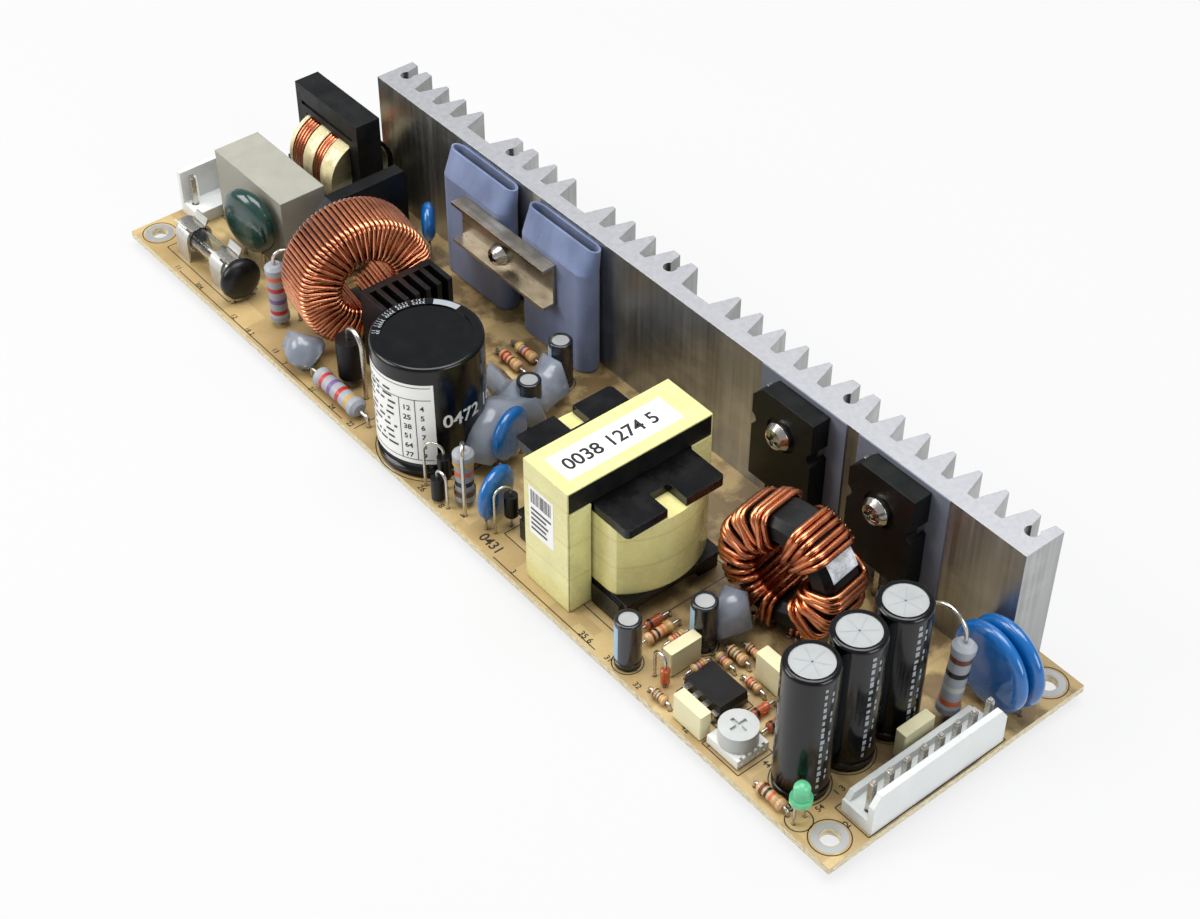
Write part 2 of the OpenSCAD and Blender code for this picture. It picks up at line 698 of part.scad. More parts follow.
module heat_sink() {
    color("#c4c8c9") translate([0, 0, top]) difference() {
        linear_extrude(sink_h) difference() {
            intersection() {
                union() {
                    translate([sink_x, sink_face]) square([sink_l, sink_plate]);
                    for (i = [0:fin_slots]) if (len(search(i, fins_left_out)) == 0) fin_outline(i);
                    for (i = channel_slots) channel_wall(i);
                }
                translate([sink_x, sink_face]) square([sink_l, sink_depth]);
            }
            for (i = channel_slots) channel_cut(i);
        }
        for (x = rect_xs) translate([x, sink_face, rect_z + rect_h - rect_hole_drop])
            rotate([-90, 0, 0]) translate([0, 0, -cut]) cylinder(d = screw_d, h = sink_plate + cut);
        translate([clip_x, sink_face, clip_z])
            rotate([-90, 0, 0]) translate([0, 0, -cut]) cylinder(d = screw_d, h = sink_plate + cut);
    }
}

// Screws from under the board into the channels of the heat sink
module heat_sink_screws() {
    color("silver") for (i = screwed_channels)
        translate([channel_x(i), channel_y, solder_h]) pan_screw(channel_d - fit, 9, 5.4, 1.7);
}

// ---------------------------------------------------------------- transistors and clip

// Shape of a sleeve with its back at the origin: even up to a height, and from there pressed
// flat towards its back
module sleeve_shape(w, t, flat_t, low, bend, high) {
    translate([0, 0, low]) linear_extrude(bend - low) translate([0, -t / 2]) stadium(w, t);
    translate([0, 0, bend]) linear_extrude(high - bend, scale = [1, flat_t / t], slices = 1)
        translate([0, -t / 2]) stadium(w, t);
}

module sleeve(x) {
    bend = transistor_z + transistor_h + seat;
    inner = 2 * sleeve_wall;
    color("#7d8db5") on_board([x, sink_face], 0) difference() {
        sleeve_shape(sleeve_w, sleeve_t, sleeve_flat_t, seat, bend, sleeve_top);
        translate([0, -sleeve_wall, 0]) union() {
            sleeve_shape(sleeve_w - inner, sleeve_t - inner, sleeve_flat_t - inner, -cut, bend,
                         sleeve_top);
            translate([0, 0, sleeve_top - fit]) linear_extrude(cut)
                translate([0, -(sleeve_flat_t - inner) / 2])
                    stadium(sleeve_w - inner, sleeve_flat_t - inner);
        }
    }
}

module sleeve_1() {
    sleeve(sleeve_1_x);
}

module sleeve_2() {
    sleeve(sleeve_2_x);
}

// Plastic body of a power transistor, thinner above where its metal tab shows
module power_transistors() {
    body_h = 9.2;
    color("#202020") for (x = [sleeve_1_x, sleeve_2_x]) on_board([x, sleeve_y], transistor_z)
        translate([-transistor_w / 2, -transistor_t / 2, 0])
            cube([transistor_w, transistor_t - 1.3, body_h]);
}

module transistor_frames() {
    tab_t = 1.3;
    color("silver") {
        for (x = [sleeve_1_x, sleeve_2_x]) on_board([x, sleeve_y], transistor_z)
            translate([0, transistor_t / 2, 0]) rotate([90, 0, 0]) linear_extrude(tab_t)
                difference() {
                    translate([-transistor_w / 2, 0]) square([transistor_w, transistor_h]);
                    translate([0, transistor_h - 2.8]) circle(d = 3.6);
                }
        for (p = transistor_legs) on_board(p, -board_t) block(0.8, 0.5, board_t + transistor_z);
    }
}

// Channel of folded steel with its web against the sleeves
module clip_bar() {
    inner = clip_h - 2 * clip_t;
    color("#b0aca0") on_board([clip_x, clip_back], clip_z) difference() {
        rotate([90, 0, -90]) linear_extrude(clip_l, center = true) difference() {
            translate([0, -clip_h / 2]) square([clip_depth, clip_h]);
            translate([clip_t, -inner / 2]) square([clip_depth, inner]);
        }
        translate([0, cut, 0]) rotate([90, 0, 0]) cylinder(d = screw_d + 0.4, h = clip_t + 2 * cut);
    }
}

module clip_screw() {
    color("silver") on_board([clip_x, clip_back - clip_t], clip_z) rotate([-90, 0, 0])
        pan_screw(screw_d - fit, clip_t + sleeve_t + sink_plate - 0.4, 5, 4);
}

// ---------------------------------------------------------------- output rectifiers

module thermal_pads() {
    pad_h = sink_h - 6;
    color("#8b8f9d") for (x = rect_xs)
        on_board([x + 0.8, sink_face - pad_t / 2], sink_h - pad_h) difference() {
            block(pad_w, pad_t, pad_h);
            translate([-0.8, -pad_t, pad_h - rect_drop - rect_hole_drop])
                rotate([-90, 0, 0]) cylinder(d = screw_d + 0.6, h = 2 * pad_t);
        }
}

// Outline of the package: one corner cut off, and a notch at the screw's height on each side
module package_outline() {
    chamfer = 2.6;
    notch_z = rect_h - rect_hole_drop - 1;
    difference() {
        polygon([
            [-rect_w / 2, 0], [rect_w / 2, 0], [rect_w / 2, rect_h],
            [-rect_w / 2 + chamfer, rect_h], [-rect_w / 2, rect_h - chamfer]
        ]);
        for (s = [-1, 1]) translate([s * (rect_w / 2 + 0.5), notch_z]) circle(d = 3.2);
        translate([0, rect_h - rect_hole_drop]) circle(d = screw_d + 0.6);
    }
}

// Outline of the metal plate in the package's back
module frame_outline() {
    side = 0.7;
    below = 2.4;
    above = 1.4;
    translate([-rect_w / 2 + side, below]) square([rect_w - 2 * side, rect_h - below - above]);
}

module output_rectifier(x) {
    color("#262626") on_board([x, rect_face], rect_z) rotate([90, 0, 0]) difference() {
        translate([0, 0, fit]) linear_extrude(rect_t - fit) package_outline();
        translate([0, 0, -cut]) linear_extrude(rect_frame_t + cut) frame_outline();
        translate([0, rect_h - rect_hole_drop, rect_t - 0.4]) cylinder(d = 7.4, h = 1);
    }
}

module output_rectifier_1() {
    output_rectifier(rect_xs[0]);
}

module output_rectifier_2() {
    output_rectifier(rect_xs[1]);
}

// Metal back plates of the rectifiers with their three legs
module rectifier_frames() {
    color("silver") {
        for (x = rect_xs) on_board([x, rect_face], rect_z) rotate([90, 0, 0])
            linear_extrude(rect_frame_t) difference() {
                frame_outline();
                translate([0, rect_h - rect_hole_drop]) circle(d = screw_d + 0.6);
            }
        for (p = rect_legs) on_board(p, -board_t) block(1.2, 0.6, board_t + rect_z);
    }
}

module rectifier_screws() {
    sunk = 0.4;
    color("silver") for (x = rect_xs)
        on_board([x, rect_face - rect_t + sunk], rect_z + rect_h - rect_hole_drop)
            rotate([-90, 0, 0])
                pan_screw(screw_d - fit, rect_t + pad_t + sink_plate - sunk - 0.5, 5.8, 2.8);
}

// ---------------------------------------------------------------- connectors

module inlet_header() {
    l = inlet_ways * pin_pitch;
    slot_w = 1.2;
    color("#ece9df") on_board([inlet_x, inlet_y], 0) difference() {
        union() {
            translate([-header_w / 2, 0, 0]) difference() {
                cube([header_w, l, header_base]);
                for (p = inlet_pins) translate([p.x - inlet_x + header_w / 2, p.y - inlet_y, -cut])
                    cylinder(d = pin_w * sqrt(2) + fit, h = header_base + 2 * cut);
            }
            translate([-header_w / 2, 0, 0]) cube([header_wall, l, inlet_wall_h]);
        }
        for (s = [0.18, 0.82]) translate([-header_w / 2 - cut, s * l - slot_w / 2, header_base])
            cube([header_wall + 2 * cut, slot_w, inlet_wall_h - header_base - 2]);
    }
}

// Side wall of the output connector, with its upper corners cut off
module side_wall(l, h) {
    chamfer = 1.6;
    rotate([90, 0, 90]) linear_extrude(header_wall) polygon([
        [0, 0], [l, 0], [l, h - chamfer * 1.5], [l - chamfer, h], [chamfer, h],
        [0, h - chamfer * 1.5]
    ]);
}

module output_header() {
    l = outlet_ways * pin_pitch;
    color("#ece9df") on_board([outlet_x, outlet_y], 0) {
        difference() {
            translate([-header_w / 2, 0, 0]) cube([header_w, l, header_base]);
            for (p = outlet_pins) translate([p.x - outlet_x, p.y - outlet_y, -cut])
                cylinder(d = pin_w * sqrt(2) + fit, h = header_base + 2 * cut);
        }
        translate([header_w / 2 - header_wall, 0, 0]) side_wall(l, outlet_wall_h);
        translate([-header_w / 2, 0, 0]) side_wall(l, outlet_inner_h);
    }
}

module connector_pins() {
    bevel = 0.5;
    color("silver") for (p = concat(inlet_pins, outlet_pins)) on_board(p, -board_t) {
        block(pin_w, pin_w, board_t + pin_h - bevel);
        translate([0, 0, board_t + pin_h - bevel]) block(pin_w * 0.72, pin_w * 0.72, bevel);
    }
}

// ---------------------------------------------------------------- fuse

module along_x(at, z) {
    on_board(at, z) rotate([0, 90, 0]) children();
}

module fuse_tube() {
    tube_l = fuse_l - 2 * fuse_cap_wall;
    color("#cfd8d4") along_x(fuse_at, fuse_z) difference() {
        cylinder(d = fuse_d, h = tube_l, center = true);
        cylinder(d = fuse_d - 1.2, h = tube_l + cut, center = true);
    }
}

module fuse_caps() {
    color("silver") for (s = [-1, 1]) along_x(fuse_at, fuse_z) difference() {
        translate([0, 0, s * (fuse_l - fuse_cap_l) / 2])
            cylinder(d = fuse_d + 2 * fuse_cap_wall + 0.1, h = fuse_cap_l, center = true);
        cylinder(d = fuse_d + 0.1, h = fuse_l - 2 * fuse_cap_wall, center = true);
    }
}

// Spring clip: two curved jaws on a foot, with a leg at each side through the board
module fuse_clips() {
    grip = fuse_d + 2 * fuse_cap_wall + 0.2;
    sheet = 0.45;
    foot = grip / 2 + sheet;
    color("silver") for (s = [-1, 1]) {
        on_board([fuse_at.x + s * fuse_clip_x, fuse_at.y], fuse_z)
            rotate([90, 0, 90]) linear_extrude(fuse_clip_w, center = true) {
                difference() {
                    circle(d = grip + 2 * sheet);
                    circle(d = grip);
                    translate([-grip / 3.2, 0]) square([grip / 1.6, grip]);
                }
                for (m = [0, 1]) mirror([m, 0]) {
                    translate([grip * 0.32, grip * 0.42]) rotate(-28) square([sheet, 1.8]);
                    translate([foot - sheet, -fuse_z]) square([sheet, fuse_z]);
                }
            }
        for (m = [-1, 1]) on_board([fuse_at.x + s * fuse_clip_x, fuse_at.y + m * 2.4], -board_t)
            block(1, 0.4, board_t);
    }
}

// ---------------------------------------------------------------- mains filter

// Coated disc of a ceramic part, standing on edge in the XZ plane
module disc(d, t) {
    rounding = t * 0.3;
    rotate([90, 0, 0]) rotate_extrude() polygon([
        [0, -t / 2], [d / 2 - rounding * 2, -t / 2], [d / 2 - rounding * 0.5, -t * 0.32],
        [d / 2, 0], [d / 2 - rounding * 0.5, t * 0.32], [d / 2 - rounding * 2, t / 2], [0, t / 2]
    ]);
}

module thermistor() {
    color("#1e1e1e") on_board(thermistor_at, thermistor_z) rotate([0, 0, 90])
        disc(thermistor_d, thermistor_t);
}

module varistor() {
    color("#17403a") on_board(varistor_at, varistor_z + varistor_d / 2) disc(varistor_d, varistor_t);
}

// Box of the interference capacitor, with a recess under it between four feet
module x_capacitor() {
    rim = 1.2;
    color("#c2beb2") on_board(xcap_at, seat) difference() {
        block(xcap_l, xcap_w, xcap_h);
        translate([0, 0, -cut]) block(xcap_l - 2 * rim, xcap_w + 2 * cut, cut + 0.5);
    }
}

module filter_core() {
    window_h = filter_top - filter_low - filter_limb - filter_t;
    window_l = filter_l - 2 * filter_leg;
    groove = 1;
    color("#232524") on_board(filter_at, 0) rotate([90, 0, 0])
        difference() {
            linear_extrude(filter_t, center = true) difference() {
                translate([-filter_l / 2, filter_low]) square([filter_l, filter_top - filter_low]);
                translate([-window_l / 2, filter_low + filter_t]) square([window_l, window_h]);
            }
            translate([-filter_l / 2 + 2, filter_top - filter_limb + 1.6, filter_t / 2 - 0.5])
                cube([filter_l - 4, groove, 1]);
        }
}

// Moulded bobbin: tube on the lower limb, three flanges and a foot block at each end
module filter_bobbin() {
    tube = filter_t + 2 * filter_gap;
    wall = 0.6;
    foot_l = filter_leg + 0.6;
    flange_x = filter_coil_l / 2 + filter_flange / 2;
    color("#191919") {
        along_x(filter_at, filter_axis_z) difference() {
            union() {
                for (x = [-flange_x, 0, flange_x]) translate([0, 0, x])
                    cylinder(d = filter_coil_d - 0.4, h = filter_flange, center = true);
                block_x(tube + 2 * wall, 2 * flange_x);
            }
            block_x(tube, filter_l);
        }
        for (s = [-1, 1])
            on_board([filter_at.x + s * (flange_x + filter_flange / 2 + foot_l / 2), filter_at.y], 0)
                translate([0, 0, seat]) block(foot_l, 13, filter_low - seat - filter_gap);
    }
}

// Square bar through the origin along Z
module block_x(w, l) {
    cube([w, w, l], center = true);
}

filter_tube_w = filter_t + 2 * filter_gap + 1.2;
filter_half = (filter_coil_l - filter_flange) / 2;
filter_band = filter_half * 0.5;

// Copper turns that show in each half of the winding
module filter_coils() {
    wire_d = 0.9;
    rows = floor(filter_band / wire_d);
    color("#a9562c") for (s = [-1, 1]) along_x(filter_at, filter_axis_z)
        translate([0, 0, s * (filter_flange / 2 + filter_half / 2)])
            for (i = [0:rows - 1]) translate([0, 0, (i - (rows - 1) / 2) * wire_d])
                rotate_extrude() translate([filter_coil_d / 2 - wire_d / 2, 0])
                    circle(d = wire_d - 0.04);
}

// Wrapping tape over and beside the copper of each half
module filter_tape() {
    core_d = filter_coil_d - 2 * 0.95;
    color("#d9cf9a") for (s = [-1, 1]) along_x(filter_at, filter_axis_z)
        translate([0, 0, s * (filter_flange / 2 + filter_half / 2)]) difference() {
            union() {
                cylinder(d = core_d, h = filter_half - fit, center = true);
                for (e = [-1, 1]) translate([0, 0, e * (filter_half + filter_band) / 4])
                    cylinder(d = filter_coil_d - 0.4, h = (filter_half - filter_band) / 2 - fit,
                             center = true);
            }
            block_x(filter_tube_w + fit, filter_l);
        }
}

// Bridge rectifier: flat package with one corner cut off, standing on its four leads
module bridge_rectifier() {
    chamfer = 3;
    color("#1c1c1c") on_board(bridge_at, bridge_z) rotate([90, 0, 90])
        linear_extrude(bridge_t, center = true) polygon([
            [-bridge_w / 2, 0], [bridge_w / 2, 0], [bridge_w / 2, bridge_h - 0.6],
            [bridge_w / 2 - 0.6, bridge_h], [-bridge_w / 2 + chamfer, bridge_h],
            [-bridge_w / 2, bridge_h - chamfer]
        ]);
}

// ---------------------------------------------------------------- power factor choke

// Places a toroid, whose axis is Z, upright on the board with its axis along X and then turned
module upright(at, z, turn) {
    on_board(at, z) rotate([0, 0, turn]) rotate([0, 90, 0]) children();
}

// Toroid core with its corners cut off
module toroid(outer, bore, t, soft) {
    rotate_extrude() polygon([
        [bore / 2 + soft, -t / 2], [outer / 2 - soft, -t / 2], [outer / 2, -t / 2 + soft],
        [outer / 2, t / 2 - soft], [outer / 2 - soft, t / 2], [bore / 2 + soft, t / 2],
        [bore / 2, t / 2 - soft], [bore / 2, -t / 2 + soft]
    ]);
}

module pfc_core() {
    color("#3a3a36") upright(pfc_at, pfc_z, pfc_turn) toroid(pfc_core_d, pfc_bore, pfc_core_t, pfc_bevel - 0.2 * pfc_wire);
}

// Every second turn lies on the one before it inside the bore, where the turns crowd
module pfc_winding() {
    sides = 5;
    rings = [for (i = [0:pfc_turns - 1], k = [0:7])
        wire_ring((i % 2 == 0 ? pfc_path : pfc_path_over)[k],
                  pfc_open / 2 + (i + k / 8) * pfc_step, pfc_wire / 2, sides)];
    color("#b5633a") upright(pfc_at, pfc_z, pfc_turn) wire(rings);
}

// Small black heat sink: a plate across the board with fins towards +X
module small_heat_sink() {
    pitch = (comb_l - comb_fin_t) / (comb_fins - 1);
    color("#202122") {
        on_board(comb_at, 0) linear_extrude(comb_h) {
            square([comb_plate, comb_l]);
            for (i = [0:comb_fins - 1]) translate([comb_plate - fit, i * pitch])
                square([comb_depth - comb_plate + fit, comb_fin_t]);
        }
        for (p = comb_legs) post(p, 1, -board_t, 0);
    }
}

// ---------------------------------------------------------------- capacitors

module bulk_capacitor() {
    color("#161616") on_board(bulk_at, seat) can(bulk_d, bulk_h, 2.6, bulk_d * 0.8);
}

module output_capacitor(i) {
    color("#1b1b1b") on_board(out_caps[i], seat) can(out_cap_d, out_cap_h, 1.9, out_cap_d * 0.78);
}

module output_capacitor_1() {
    output_capacitor(0);
}

module output_capacitor_2() {
    output_capacitor(1);
}

module output_capacitor_3() {
    output_capacitor(2);
}

module small_capacitors() {
    color("#20252e") for (c = small_caps) on_board(c, seat)
        can(small_cap_d, small_cap_h, 1.4, small_cap_d * 0.72);
}

module ceramic_capacitors() {
    color("#1f76c0") for (c = discs) on_board(c, c[2]) rotate([0, 0, c[5]]) disc(c[3], c[4]);
}

// Box film capacitor with softened upright edges
module film_capacitors() {
    color("#e2dcb4") for (c = films) on_board(c, seat) rotate([0, 0, c[2]])
        linear_extrude(c[5] - seat) rounded(c[3], c[4], 0.3);
}

// ---------------------------------------------------------------- resistors and diodes

module power_resistors() {
    cap = 0.25;
    color("#9a9da2") {
        for (s = standing_resistors) on_board(s, s[4]) barrel(s[5], s[6], cap);
        on_board(lean_at, lean_base) rotate([-lean_angle, 0, 0]) barrel(lean_l, lean_d, cap);
        on_board([lying_resistor[0] - lying_resistor[2] / 2, lying_resistor[1]],
                 lying_z(lying_resistor[3]))
            rotate([0, 90, 0]) barrel(lying_resistor[2], lying_resistor[3], cap);
    }
}

module standing_diodes() {
    color("#1a1a1a") for (s = standing_diodes_at) on_board(s, s[4]) cylinder(d = s[6], h = s[5]);
}

module lying_body(r, cap) {
    on_board(r, lying_z(r[4])) rotate([0, 0, r[2]]) translate([-r[3] / 2, 0, 0])
        rotate([0, 90, 0]) barrel(r[3], r[4], cap);
}

module small_resistors() {
    color("#c98f5e") for (r = small_resistors_at) lying_body(r, 0.15);
}

module glass_diodes() {
    color("#8e2f20") {
        for (r = glass_diodes_at) lying_body(r, 0.05);
        on_board(glass_standing, glass_standing[4])
            barrel(glass_standing[5], glass_standing[6], 0.05);
    }
}

// Wires of a part that stands on end: one under it, one from its top over to its foot
module standing_wires(s) {
    body_top = s[4] + s[5];
    from = [s[0], s[1]];
    to = [s[2], s[3]];
    bend = body_top + 1;
    post(from, s[7], -board_t, s[4]);
    post(from, s[7], body_top, bend);
    loop(from, to, bend, s[7]);
    post(to, s[7], -board_t, bend);
}

// Wires of a part that lies down: out of each end, then bent to the board
module lying_wires(at, turn, z, body_l, pitch, d) {
    bend = d;
    on_board(at, z) rotate([0, 0, turn]) for (m = [0, 1]) mirror([m, 0, 0]) {
        translate([body_l / 2, 0, 0]) rotate([0, 90, 0])
            cylinder(d = d, h = (pitch - body_l) / 2 - bend);
        translate([pitch / 2 - bend, 0, -bend]) rotate([90, 0, 0])
            rotate_extrude(angle = 90) translate([bend, 0]) circle(d = d);
    }
}

module component_leads() {
    $fn = 16;
    color("#c9c3b4") {
        for (w = wires) post(w, w[2], -board_t, w[3]);
        for (p = bridge_legs) on_board(p, -board_t) block(0.8, 0.8, board_t + bridge_z);
        for (p = filter_legs) post(p, 0.8, -board_t, seat);
        for (p = trimmer_legs) post(p, 0.6, -board_t, seat);
        for (p = pfc_ends) post(p, pfc_wire, -board_t, p[3]);
        for (p = choke_ends) post(p, choke_wire, -board_t, p[3]);
    }
}

// Looped wires of the parts that stand on end
module looped_leads() {
    $fn = 16;
    color("#c9c3b4") {
        for (s = standing) standing_wires(s);
        lean_wires();
    }
}

// Bent wires of the parts that lie on the board
module axial_leads() {
    $fn = 16;
    color("#c9c3b4") {
        for (r = concat(small_resistors_at, glass_diodes_at)) {
            axial_posts(r, r[5], r[2], lead_d, lying_z(r[4]) - lead_d);
            lying_wires(r, r[2], lying_z(r[4]), r[3], r[5], lead_d);
        }
        axial_posts(lying_resistor, lying_resistor[4], 0, power_lead_d,
                    lying_z(lying_resistor[3]) - power_lead_d);
        lying_wires(lying_resistor, 0, lying_z(lying_resistor[3]), lying_resistor[2],
                    lying_resistor[4], power_lead_d);
    }
}

module axial_posts(at, pitch, turn, d, rise) {
    for (w = pair(at, pitch, turn, d, rise)) post(w, d, -board_t, rise);
}

// Wires of the leaning resistor: the upper one runs back over the board to its foot
module lean_wires() {
    bend = lean_tip_z + 0.6;
    post(lean_at, power_lead_d, -board_t, lean_base - fit);
    post(lean_tip, power_lead_d, lean_tip_z, bend);
    loop(lean_tip, lean_foot, bend, power_lead_d);
    post(lean_foot, power_lead_d, -board_t, bend);
}

// ---------------------------------------------------------------- transformer

module transformer_core() {
    window = tr_inner_w / 2 - tr_leg / 2;
    color("#262626") on_board(tr_at, tr_z) rotate([90, 0, 90])
        linear_extrude(tr_core_t, center = true) difference() {
            translate([-tr_core_w / 2, 0]) square([tr_core_w, tr_core_h]);
            for (s = [-1, 1]) translate([s * (tr_leg + window) / 2, tr_core_h / 2])
                square([window, tr_window], center = true);
        }
}

// Tape round the outside of the core, and down the faces of its side legs
module transformer_tape() {
    color("#e3dda0") {
        on_board(tr_at, tr_z) rotate([90, 0, 90]) linear_extrude(tr_core_t, center = true)
            difference() {
                translate([-tr_core_w / 2 - tape_t, -tape_t])
                    square([tr_core_w + 2 * tape_t, tr_core_h + 2 * tape_t]);
                translate([-tr_core_w / 2, 0]) square([tr_core_w, tr_core_h]);
            }
        for (a = [-1, 1], b = [-1, 1])
            on_board([tr_at.x + a * (tr_core_t + tape_t) / 2,
                      tr_at.y + b * (tr_core_w - tr_side_leg) / 2], tr_z)
                block(tape_t, tr_side_leg, tr_core_h - tr_yoke);
    }
}

module tr_tube_hole() {
    square([tr_core_t + 2 * fit, tr_leg + 2 * fit], center = true);
}

// Moulded bobbin: tube on the middle leg, notched top flange, bottom plate with two pin rails
module transformer_bobbin() {
    tube = [tr_core_t + 2 * tr_tube_wall, tr_leg + 2 * tr_tube_wall];
    notch = [5, 4.4];
    color("#151515") {
        on_board(tr_at, tr_low) linear_extrude(tr_high - tr_low) difference() {
            square(tube, center = true);
            tr_tube_hole();
        }
        on_board(tr_at, tr_low) linear_extrude(tr_plate) difference() {
            square([tr_coil_l, tr_coil_w], center = true);
            tr_tube_hole();
        }
        on_board(tr_at, tr_high - tr_flange) linear_extrude(tr_flange) difference() {
            rounded(tr_coil_l, tr_coil_w, 1);
            tr_tube_hole();
            for (s = [-1, 1]) translate([s * tr_coil_l / 2, 0])
                square([2 * notch.x, notch.y], center = true);
        }
        for (s = [-1, 1]) on_board([tr_at.x + s * tr_pin_x, tr_at.y], seat) difference() {
            block(tr_rail_w, tr_coil_w + 1.2, tr_low - seat);
            translate([s * tr_rail_w / 2, 0, -cut]) block(5, tr_coil_w - 8, 2.2);
            for (p = tr_pins) translate([p.x - tr_at.x - s * tr_pin_x, p.y - tr_at.y, -cut])
                cylinder(d = tr_pin_d + fit, h = 3 + cut);
        }
    }
}

// Taped winding, rounder towards the ends where it stands out of the core
module transformer_winding() {
    low = tr_low + tr_plate;
    high = tr_high - tr_flange;
    bulge = tr_coil_l / 2;
    color("#e6dfa6") on_board(tr_at, low) linear_extrude(high - low) difference() {
        intersection() {
            rounded(tr_coil_l + 1, tr_coil_w, 6.5);
            for (s = [-1, 1]) translate([0, 0]) circle(r = bulge + 0.5);
        }
        square([tr_core_t + 2 * tr_tube_wall + fit, tr_leg + 2 * tr_tube_wall + fit], center = true);
    }
}

module transformer_pins() {
    color("silver") for (p = tr_pins) post(p, tr_pin_d, -board_t, seat + 2.9);
}

// ---------------------------------------------------------------- output choke

module choke_core() {
    color("#1d1d1f") upright(choke_at, choke_z, choke_turn)
        toroid(choke_core_d, choke_bore, choke_core_t, choke_bevel - 0.2 * choke_wire);
}

module choke_winding() {
    sides = 5;
    color("#b4602f") upright(choke_at, choke_z, choke_turn) for (strand = [0:choke_strands - 1])
        wire([for (i = [0:choke_turns - 1], k = [0:7])
            wire_ring(choke_path[k], choke_angle(i + k / 8) + strand * choke_strand,
                      choke_wire / 2, sides)]);
}

// ---------------------------------------------------------------- control parts

module control_ic() {
    draft = 0.25;
    color("#1b1b1c") on_board(ic_at, ic_z) difference() {
        rotate([90, 0, 0]) linear_extrude(ic_w, center = true) polygon([
            [-ic_l / 2 + draft, 0], [ic_l / 2 - draft, 0], [ic_l / 2, ic_h / 2],
            [ic_l / 2 - draft, ic_h], [-ic_l / 2 + draft, ic_h], [-ic_l / 2, ic_h / 2]
        ]);
        translate([-ic_l / 2, 0, ic_h - 0.5]) cylinder(d = 2, h = 1);
    }
}

module ic_pins() {
    shoulder_z = ic_z + ic_h / 2 - 0.15;
    reach = (ic_row - ic_w) / 2 + 0.12;
    color("silver") for (s = [-1, 1], i = [0:3])
        on_board([ic_at.x + (i - 1.5) * leg_pitch, ic_at.y + s * (ic_w + reach) / 2], shoulder_z) {
            block(1.4, reach, 0.25);
            translate([0, s * (reach - 0.25) / 2, -shoulder_z - board_t])
                block(0.5, 0.25, shoulder_z + board_t);
        }
}

// Trimmer base with grip notches along one side and a bore for the rotor's shaft
module trimmer_base() {
    notches = 5;
    color("#e6e6e2") on_board(trimmer_at, seat) difference() {
        block(trimmer_l, trimmer_w, trimmer_h);
        translate([0, 0, -cut]) cylinder(d = trimmer_shaft_d, h = trimmer_h + 2 * cut);
        for (i = [0:notches - 1])
            translate([trimmer_l / 2 - 0.5, (i - (notches - 1) / 2) * trimmer_w / 5.6 - 0.3, 0.5])
                cube([1, 0.6, trimmer_h]);
    }
}

// Rotor: knob with a screwdriver slot, turning on a shaft in the base
module trimmer_rotor() {
    slot = [rotor_d * 0.5, 0.7];
    color("#cfd2cf") on_board(trimmer_at, seat + trimmer_h + rotor_air) rotate([0, 0, rotor_angle]) {
        difference() {
            cylinder(d = rotor_d, h = rotor_h);
            for (a = [0, 90]) rotate([0, 0, a])
                translate([-slot.x / 2, -slot.y / 2, rotor_h - 0.5]) cube([slot.x, slot.y, 1]);
        }
        translate([0, 0, -trimmer_h * 0.8]) cylinder(d = trimmer_shaft_d - 0.2, h = trimmer_h);
    }
}

// Light emitting diode standing on its two leads
module led() {
    r = led_d / 2;
    flange = 0.5;
    h = 4.6;
    color("#46b97a") on_board(led_at, led_z) {
        cylinder(r = r + flange, h = 1);
        cylinder(r = r, h = h - r);
        translate([0, 0, h - r]) sphere(r = r);
    }
}

// ---------------------------------------------------------------- silicone

// Lump of silicone with a round crown
module bead(r, h) {
    steps = 8;
    rotate_extrude() polygon(concat(
        [[0, 0]],
        [for (i = [0:steps]) let (a = i * 90 / steps)
            [r * pow(cos(a), 0.55), h * pow(sin(a), 0.9)]]
    ));
}

module can_room(at, d) {
    on_board(at, -cut) cylinder(d = d + fit, h = bulk_h, $fn = 48);
}

// The beads flow round the parts that they hold
module silicone_beads() {
    $fn = 12;
    color("#9aa3b4") difference() {
        for (b = beads) on_board(b, 0) bead(b[2], b[3]);
        can_room(bulk_at, bulk_d);
        for (c = small_caps) can_room(c, small_cap_d);
        for (c = discs) on_board(c, c[2]) rotate([0, 0, c[5]])
            cube([c[3] + 0.6, c[4] + fit, 2 * c[2] + 2 * cut], center = true);
    }
}

circuit_board();
solder_joints();
heat_sink();
heat_sink_screws();
sleeve_1();
sleeve_2();
power_transistors();
transistor_frames();
clip_bar();
clip_screw();
thermal_pads();
output_rectifier_1();
output_rectifier_2();
rectifier_frames();
rectifier_screws();
inlet_header();
output_header();
connector_pins();
fuse_tube();
fuse_caps();
fuse_clips();
thermistor();
varistor();
x_capacitor();
filter_core();
filter_bobbin();
filter_coils();
filter_tape();
bridge_rectifier();
pfc_core();
pfc_winding();
small_heat_sink();
bulk_capacitor();
ceramic_capacitors();
power_resistors();
standing_diodes();
component_leads();
looped_leads();
axial_leads();
small_capacitors();
transformer_core();
transformer_tape();
transformer_bobbin();
transformer_winding();
transformer_pins();
choke_core();
choke_winding();
output_capacitor_1();
output_capacitor_2();
output_capacitor_3();
film_capacitors();
control_ic();
ic_pins();
small_resistors();
glass_diodes();
trimmer_base();
trimmer_rotor();
led();
silicone_beads();
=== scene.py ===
import math
import random

import bpy
from mathutils import Matrix, Vector, noise


